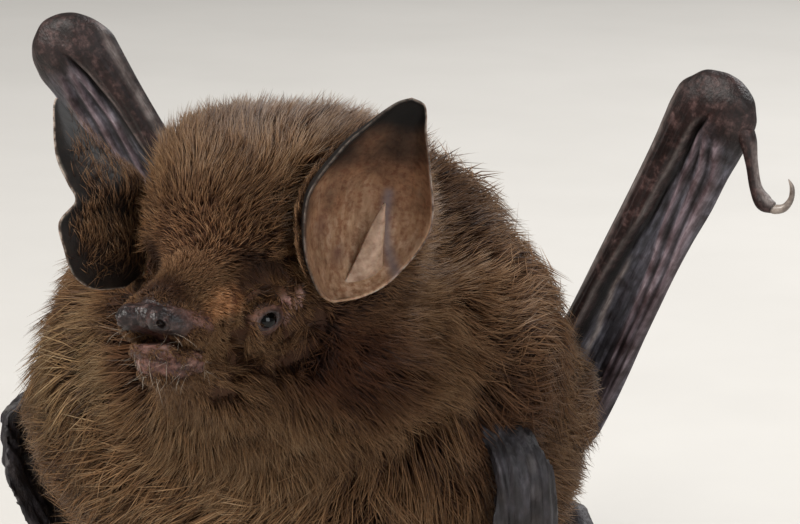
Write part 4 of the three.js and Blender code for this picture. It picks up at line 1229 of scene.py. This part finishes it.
earForm = dict(
    root=(8.2, -2.9, 0), rise=(0.33, -0.228, 0.912), facing=(0.85, -0.53, 0), depth=3.9, length=13.4,
    hollow=[0, 0.4, 0.74, 0.92, 1, 0.95, 0.84, 0.68, 0.52, 0.36, 0.22, 0.1, 0],
    # margins from the root to the tip: mm across towards the cheek, up, and forward of the opening
    outer={
        1: [
            (0.9, -0.25, 0.1), (2.1, 0.4, 0.9), (3.3, 1.55, 1.9), (4.3, 3.2, 1.9), (4.6, 4.85, 1.2),
            (4.55, 6.5, 0.5), (3.97, 7.8, 0.1), (3.1, 9.35, 0), (2.45, 10.4, 0), (1.55, 11.4, 0),
            (0.8, 12.3, 0), (0, 13.05, 0), (-0.85, 13.42, 0),
        ],
        -1: [
            (0.9, -0.25, 0.3), (2.0, 0.3, 2.1), (3.3, 1.5, 2.9), (4.2, 3.2, 2.85), (4.5, 4.8, 2.6),
            (4.5, 5.75, 1.2), (4.3, 7.0, 1.3), (3.7, 8.5, 1.5), (3.0, 9.7, 1.4), (2.1, 10.8, 1.15),
            (1.2, 11.7, 0.95), (0.2, 12.35, 0.75), (-0.6, 12.6, 0.6),
        ],
    },
    inner={
        1: [
            (0.9, -0.25, 0.1), (-0.85, 0.15, 0), (-2.34, 0.97, -0.1), (-3.4, 2.23, -0.2),
            (-4.25, 3.65, -0.3), (-4.58, 5, -0.3), (-4.25, 6.65, -0.25), (-3.65, 8.26, -0.2),
            (-3.05, 9.86, -0.1), (-2.4, 11.4, 0), (-2.15, 12.4, 0), (-1.75, 13.12, 0), (-0.85, 13.42, 0),
        ],
        -1: [
            (0.9, -0.25, 0.3), (-0.85, 0.15, 0), (-2.34, 0.97, -0.1), (-3.4, 2.23, -0.2),
            (-4.25, 3.65, -0.2), (-4.6, 5, 0), (-4.25, 6.5, 0.4), (-3.65, 7.9, 0.8), (-3.05, 9.3, 1.0),
            (-2.35, 10.6, 1.0), (-2.1, 11.6, 0.9), (-1.6, 12.3, 0.75), (-0.6, 12.6, 0.6),
        ],
    },
    across=72, up=96, wall=0.17,
    tragusOuter=[
        (0.7, 0.1, -1.0), (-0.25, 0.75, -1.3), (-0.62, 2.0, -1.4), (-0.85, 3.3, -1.4), (-1.15, 4.7, -1.4),
        (-1.6, 6.0, -1.35)
    ],
    tragusInner=[
        (0.7, 0.1, -1.0), (-2.2, 0.2, -1.6), (-2.55, 1.4, -1.3), (-2.2, 2.9, -1.2), (-1.95, 4.5, -1.25),
        (-1.6, 6.0, -1.35)
    ],
)


def earAxes(side):  # which way the ear rises, widens and opens
    facing = np.array(earForm["facing"]) * [side, 1, 1]
    rise = unit(np.array(earForm["rise"]) * [side, 1, 1])
    across = unit(np.cross(facing, rise)) * side
    return rise, across, unit(np.cross(rise, across)) * side


def earPlace(side, local):  # mm across, up and forward to a place on the head
    rise, across, opening = earAxes(side)
    root = np.array(earForm["root"]) * [side, 1, 1]
    return root + across * local[:, :1] + rise * local[:, 1:2] + opening * local[:, 2:]


def earPoints(side, u, v):  # u across the cup from its inner margin, v from root to tip
    inner, outer = softPath(earForm["inner"][side], v), softPath(earForm["outer"][side], v)
    bend = 1.45
    angle = (u - 0.5) * 2 * bend
    share = (np.sin(angle) / math.sin(bend) + 1) / 2
    local = inner * (1 - share)[:, None] + outer * share[:, None]
    cup = (np.cos(angle) - math.cos(bend)) / (1 - math.cos(bend))
    local[:, 2] -= cup * softLine(earForm["hollow"], v) * earForm["depth"] * 0.92
    local[:, 2] += 0.1 * np.sin(u * 24 + 2 * v) * ramp(v, 0.15, 0.4) * (1 - ramp(v, 0.6, 0.9)) * cup
    return earPlace(side, local)


def tragusPoints(side, u, v):  # a narrow blade that stands in front of the ear's opening
    inner, outer = softPath(earForm["tragusInner"], v), softPath(earForm["tragusOuter"], v)
    local = inner * (1 - u)[:, None] + outer * u[:, None]
    local[:, 2] += 0.35 * np.sin(u * math.pi) * np.sin(np.clip(v, 0, 1) * math.pi) ** 0.5
    return earPlace(side, local)


# Bat ear: thin cartilage under almost bare skin. Warm brown, with painted light low in the cup where light
# comes through, painted shade darkening the bent tip to black over its own darker brown, black on the back,
# a narrow painted pale glint along the rim, and finely veined.
def earMaterial():
    material, tree, place = newMaterial("earLeather")
    grain = addNode(tree, "ShaderNodeAttribute", attribute_name="grainPlace").outputs["Vector"]
    tip, rim, back, streak, glow, spot = shares(
        tree, "tipShare", "rimShare", "backShare", "streakShare", "glowShare", "spotShare"
    )
    blotch, veins, speck, glint, pores = blotches(
        tree, (place, 1.5, 5, 0.65), (grain, 0.5, 4, 0.6), (place, 0.35, 3, 0.6), (place, 0.5, 3, 0.6),
        (place, 0.12, 2, 0.6)
    )
    colour = painted(tree, None, [
        (1, blotch, [(0.3, "#4a3324"), (0.5, "#6b4c37"), (0.72, "#866248")]),
        (glow, veins, [(0.3, "#86664d"), (0.5, "#a78669"), (0.72, "#c8aa8e")]),
        (0.6, speck, [(0.34, "#b58a76"), (0.56, "#ffffff")], "MULTIPLY"),
        (back, blotch, [(0.3, "#0f0b0a"), (0.55, "#1e1713"), (0.75, "#30261e")]),
        (streak, None, "#6d6468"),
        (spot, None, "#4d312c"),
        (tip, blotch, [(0.35, "#080605"), (0.7, "#120e0c")]),
        (rim, glint, [(0.4, "#4a3d34"), (0.62, "#a3968a")]),
    ])
    return finished(material, colour, 0.62, **{
        "Specular IOR Level": 0.16,
        "Subsurface Weight": 0.1,
        "Subsurface Scale": 0.4 * mm,
        "Normal": relief(tree, [(veins, 0.5, 0.08), (pores, 0.35, 0.03)]),
    })


# a thin closed leaf, and how near its rim each point is
def leafMesh(name, side, shape, across, up, wall, smooth):
    bm, uvs = gridSheet(across, up)
    for vertex, p in zip(bm.verts, fromHead(shape(side, uvs[:, 0], uvs[:, 1]))):
        vertex.co = p
    for _ in range(smooth):
        inside = [v for v in bm.verts if not v.is_boundary]
        bmesh.ops.smooth_vert(bm, verts=inside, factor=0.5, use_axis_x=True, use_axis_y=True, use_axis_z=True)
    bmesh.ops.remove_doubles(bm, verts=bm.verts, dist=0.02 * mm)
    rimTree = treeOf([v.co.copy() for v in bm.verts if v.is_boundary])
    bmesh.ops.recalc_face_normals(bm, faces=bm.faces)
    bmesh.ops.solidify(bm, geom=bm.faces, thickness=wall * mm)
    bmesh.ops.recalc_face_normals(bm, faces=bm.faces)
    mesh = meshFrom(bm, name)
    mesh.shade_smooth()
    return mesh, np.array([rimTree.find(p)[2] for p in points(mesh)]) / mm


def lineShare(local, path, width):  # 1 along a line drawn on the ear, mm across and up
    line = np.array(path, float)
    flat = np.stack([local[:, 0], local[:, 1], 0 * local[:, 0]], 1)
    return bell(lineGap(flat, np.pad(line, ((0, 0), (0, 1)))), width)


print("stage: ears")
earLeather = earMaterial()
# Tragus: a thin blade of cartilage in skin, bare and soft, with light coming through
tragusSkin = simpleMaterial(
    "tragusSkin", "#7f614c", "#b39781", 0.5, 0.6, **{"Subsurface Weight": 0.2, "Subsurface Scale": 0.5 * mm}
)
for side, word in sideWords.items():
    mesh, rimGap = leafMesh(
        f"ear{word}", side, earPoints, earForm["across"], earForm["up"], earForm["wall"], 6
    )
    ear = placed(f"ear{word}", mesh, earLeather)
    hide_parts(f"ear_{word.lower()}")
    co, no = points(mesh), normals(mesh)
    rise, across, opening = earAxes(side)
    away = toHead(co) - np.array(earForm["root"]) * [side, 1, 1]
    local = np.stack([away @ across, away @ rise, away @ opening], 1)
    up = local[:, 1] / earForm["length"]
    facing = ((-local[:, :1] * across * 0.4 + opening * (1.5 - local[:, 2:])) * (no @ headTurn)).sum(1)
    back = ramp(-facing, -0.3, 0.3)
    inside = 1 - back
    wander = 0.12 * swirl(co, 1.6, 2)[:, 0]
    setPlace(mesh, "grainPlace", np.stack([local[:, 0], local[:, 1] * 0.22, local[:, 2]], 1) * mm)
    # painted shade: darker up the ear towards its bent tip and along its outer margin, over a tip that is
    # darker brown itself
    margin = 0.8 * ramp(local[:, 0] + wander * 4, 2.6, 4.2) * ramp(up, 0.15, 0.45)
    dark = np.maximum(ramp(up + 0.05 * local[:, 0] + wander, 0.46, 0.82), margin)
    setShare(mesh, "tipShare", dark * (0.8 + 0.2 * inside))
    lit = 0.25 + 0.75 * np.maximum(ramp(-local[:, 0], 0, 2), side < 0)
    setShare(mesh, "rimShare", (1 - ramp(rimGap, 0.04, 0.16)) * lit)
    setShare(mesh, "backShare", back)
    fold = lineShare(local, [(-3.0, 0.9), (-2.9, 2.4), (-2.6, 4.2), (-2.3, 6.2)], 0.28)
    setShare(mesh, "streakShare", 0.7 * inside * fold)
    # painted light: paler low in the cup and towards its inner side, as where light shines through
    glow = (1 - ramp(up + wander, 0.2, 0.62)) * (0.35 + 0.65 * bell(local[:, 0] + 1.6, 2.0))
    setShare(mesh, "glowShare", inside * glow)
    setShare(mesh, "spotShare", inside * np.maximum(
        0.75 * bell(np.hypot(local[:, 0] - 0.35, (local[:, 1] - 2.1) * 0.9), 0.55),
        0.5 * bell(np.hypot(local[:, 0] - 1.9, (local[:, 1] - 3.9) * 0.6), 0.5),
    ))
    downy = back * (
        1 - ramp(up + 0.12 * swirl(co, 1.3, 8)[:, 0], 0.12, 0.95)
    ) ** 1.5 * ramp(rimGap, 0.35, 1.6)
    ground = groundOf(mesh, co, no, np.full(len(co), 0.5), downy)
    ground["base"] = 0.0
    lockMesh(
        f"earFur{word}", ground,
        dict(
            headCoat, count=2600, length=1.25, width=0.04, clump=0.25, perClump=8, stray=0.28, rise=0.6,
            flow=lambda here, head: np.tile(rise @ headTurn.T, (len(here), 1)),
            lengthBy=lambda root, depth: 1.0,
            where=lambda middle, depth, head: head,
        ),
        coatFur,
    )
    mesh, rimGap = leafMesh(f"tragus{word}", side, tragusPoints, 22, 40, 0.22, 2)
    tragus = placed(f"tragus{word}", mesh, tragusSkin)
    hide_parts(f"tragus_{word.lower()}")

print("stage: eyes and claws")
# Eye: a wet round cornea over a black iris, with one sharp glint
eyeGloss = simpleMaterial("eyeWetBlack", "#020202", "#040303", 0.5, 0.04, **{"Specular IOR Level": 0.25})
for side, word in sideWords.items():
    low = word.lower()
    lo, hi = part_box(f"eye_{low}")
    middle, radius = (lo + hi) / 2, (hi - lo)[2] / 2
    bm = bmesh.new()
    bmesh.ops.create_uvsphere(bm, u_segments=40, v_segments=24, radius=radius)
    bmesh.ops.translate(bm, verts=bm.verts, vec=middle)
    mesh = meshFrom(bm, f"eye{word}")
    mesh.shade_smooth()
    eye = placed(f"eye{word}", mesh, eyeGloss)
    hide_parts(f"eye_{low}")

print("stage: studio")
bm = bmesh.new()
bmesh.ops.create_grid(bm, x_segments=1, y_segments=1, size=3)
mesh = meshFrom(bm, "studioFloor")
floor = bpy.data.objects.new("studioFloor", mesh)
bpy.context.scene.collection.objects.link(floor)
mesh.materials.append(simpleMaterial("studioPaper", "#c9c6c1", "#cfccc7", 40, 0.8))

lights = dict(
    key=dict(place=(-0.20, -0.30, 0.34), size=0.16, power=2.6, colour=(1, 0.97, 0.93)),
    fill=dict(place=(0.32, -0.26, 0.16), size=0.24, power=0.8, colour=(0.95, 0.97, 1)),
    back=dict(place=(0.12, 0.30, 0.30), size=0.16, power=1.4, colour=(1, 1, 1)),
)
for name, light in lights.items():
    data = bpy.data.lights.new(name, "AREA")
    data.shape = "SQUARE"
    data.size = light["size"]
    data.energy = light["power"]
    data.color = light["colour"]
    lamp = bpy.data.objects.new(name, data)
    bpy.context.scene.collection.objects.link(lamp)
    lamp.location = light["place"]
    aim = Vector((0, -0.015, 0.025)) - Vector(light["place"])
    lamp.rotation_euler = aim.to_track_quat("-Z", "Y").to_euler()
world = bpy.data.worlds.new("studioWorld")
world.use_nodes = True
world.node_tree.nodes["Background"].inputs[0].default_value = (0.66, 0.655, 0.645, 1)
world.node_tree.nodes["Background"].inputs[1].default_value = 0.35
bpy.context.scene.world = world
bpy.context.scene.view_settings.view_transform = "Standard"

cameraView = dict(place=(107.2305, -237.3846, 85.2792), azimuth=24, elevation=12, lens=176.625)
azimuth, elevation = math.radians(cameraView["azimuth"]), math.radians(cameraView["elevation"])
backward = Vector(
    (math.sin(azimuth) * math.cos(elevation), -math.cos(azimuth) * math.cos(elevation), math.sin(elevation))
)
camera = bpy.data.cameras.new("studioCamera")
camera.lens = cameraView["lens"]
camera.sensor_width = 36
camera.clip_start, camera.clip_end = 0.01, 10
eyepiece = bpy.data.objects.new("studioCamera", camera)
eyepiece.location = Vector(cameraView["place"]) * mm
eyepiece.rotation_euler = (-backward).to_track_quat("-Z", "Y").to_euler()
bpy.context.scene.collection.objects.link(eyepiece)
bpy.context.scene.camera = eyepiece
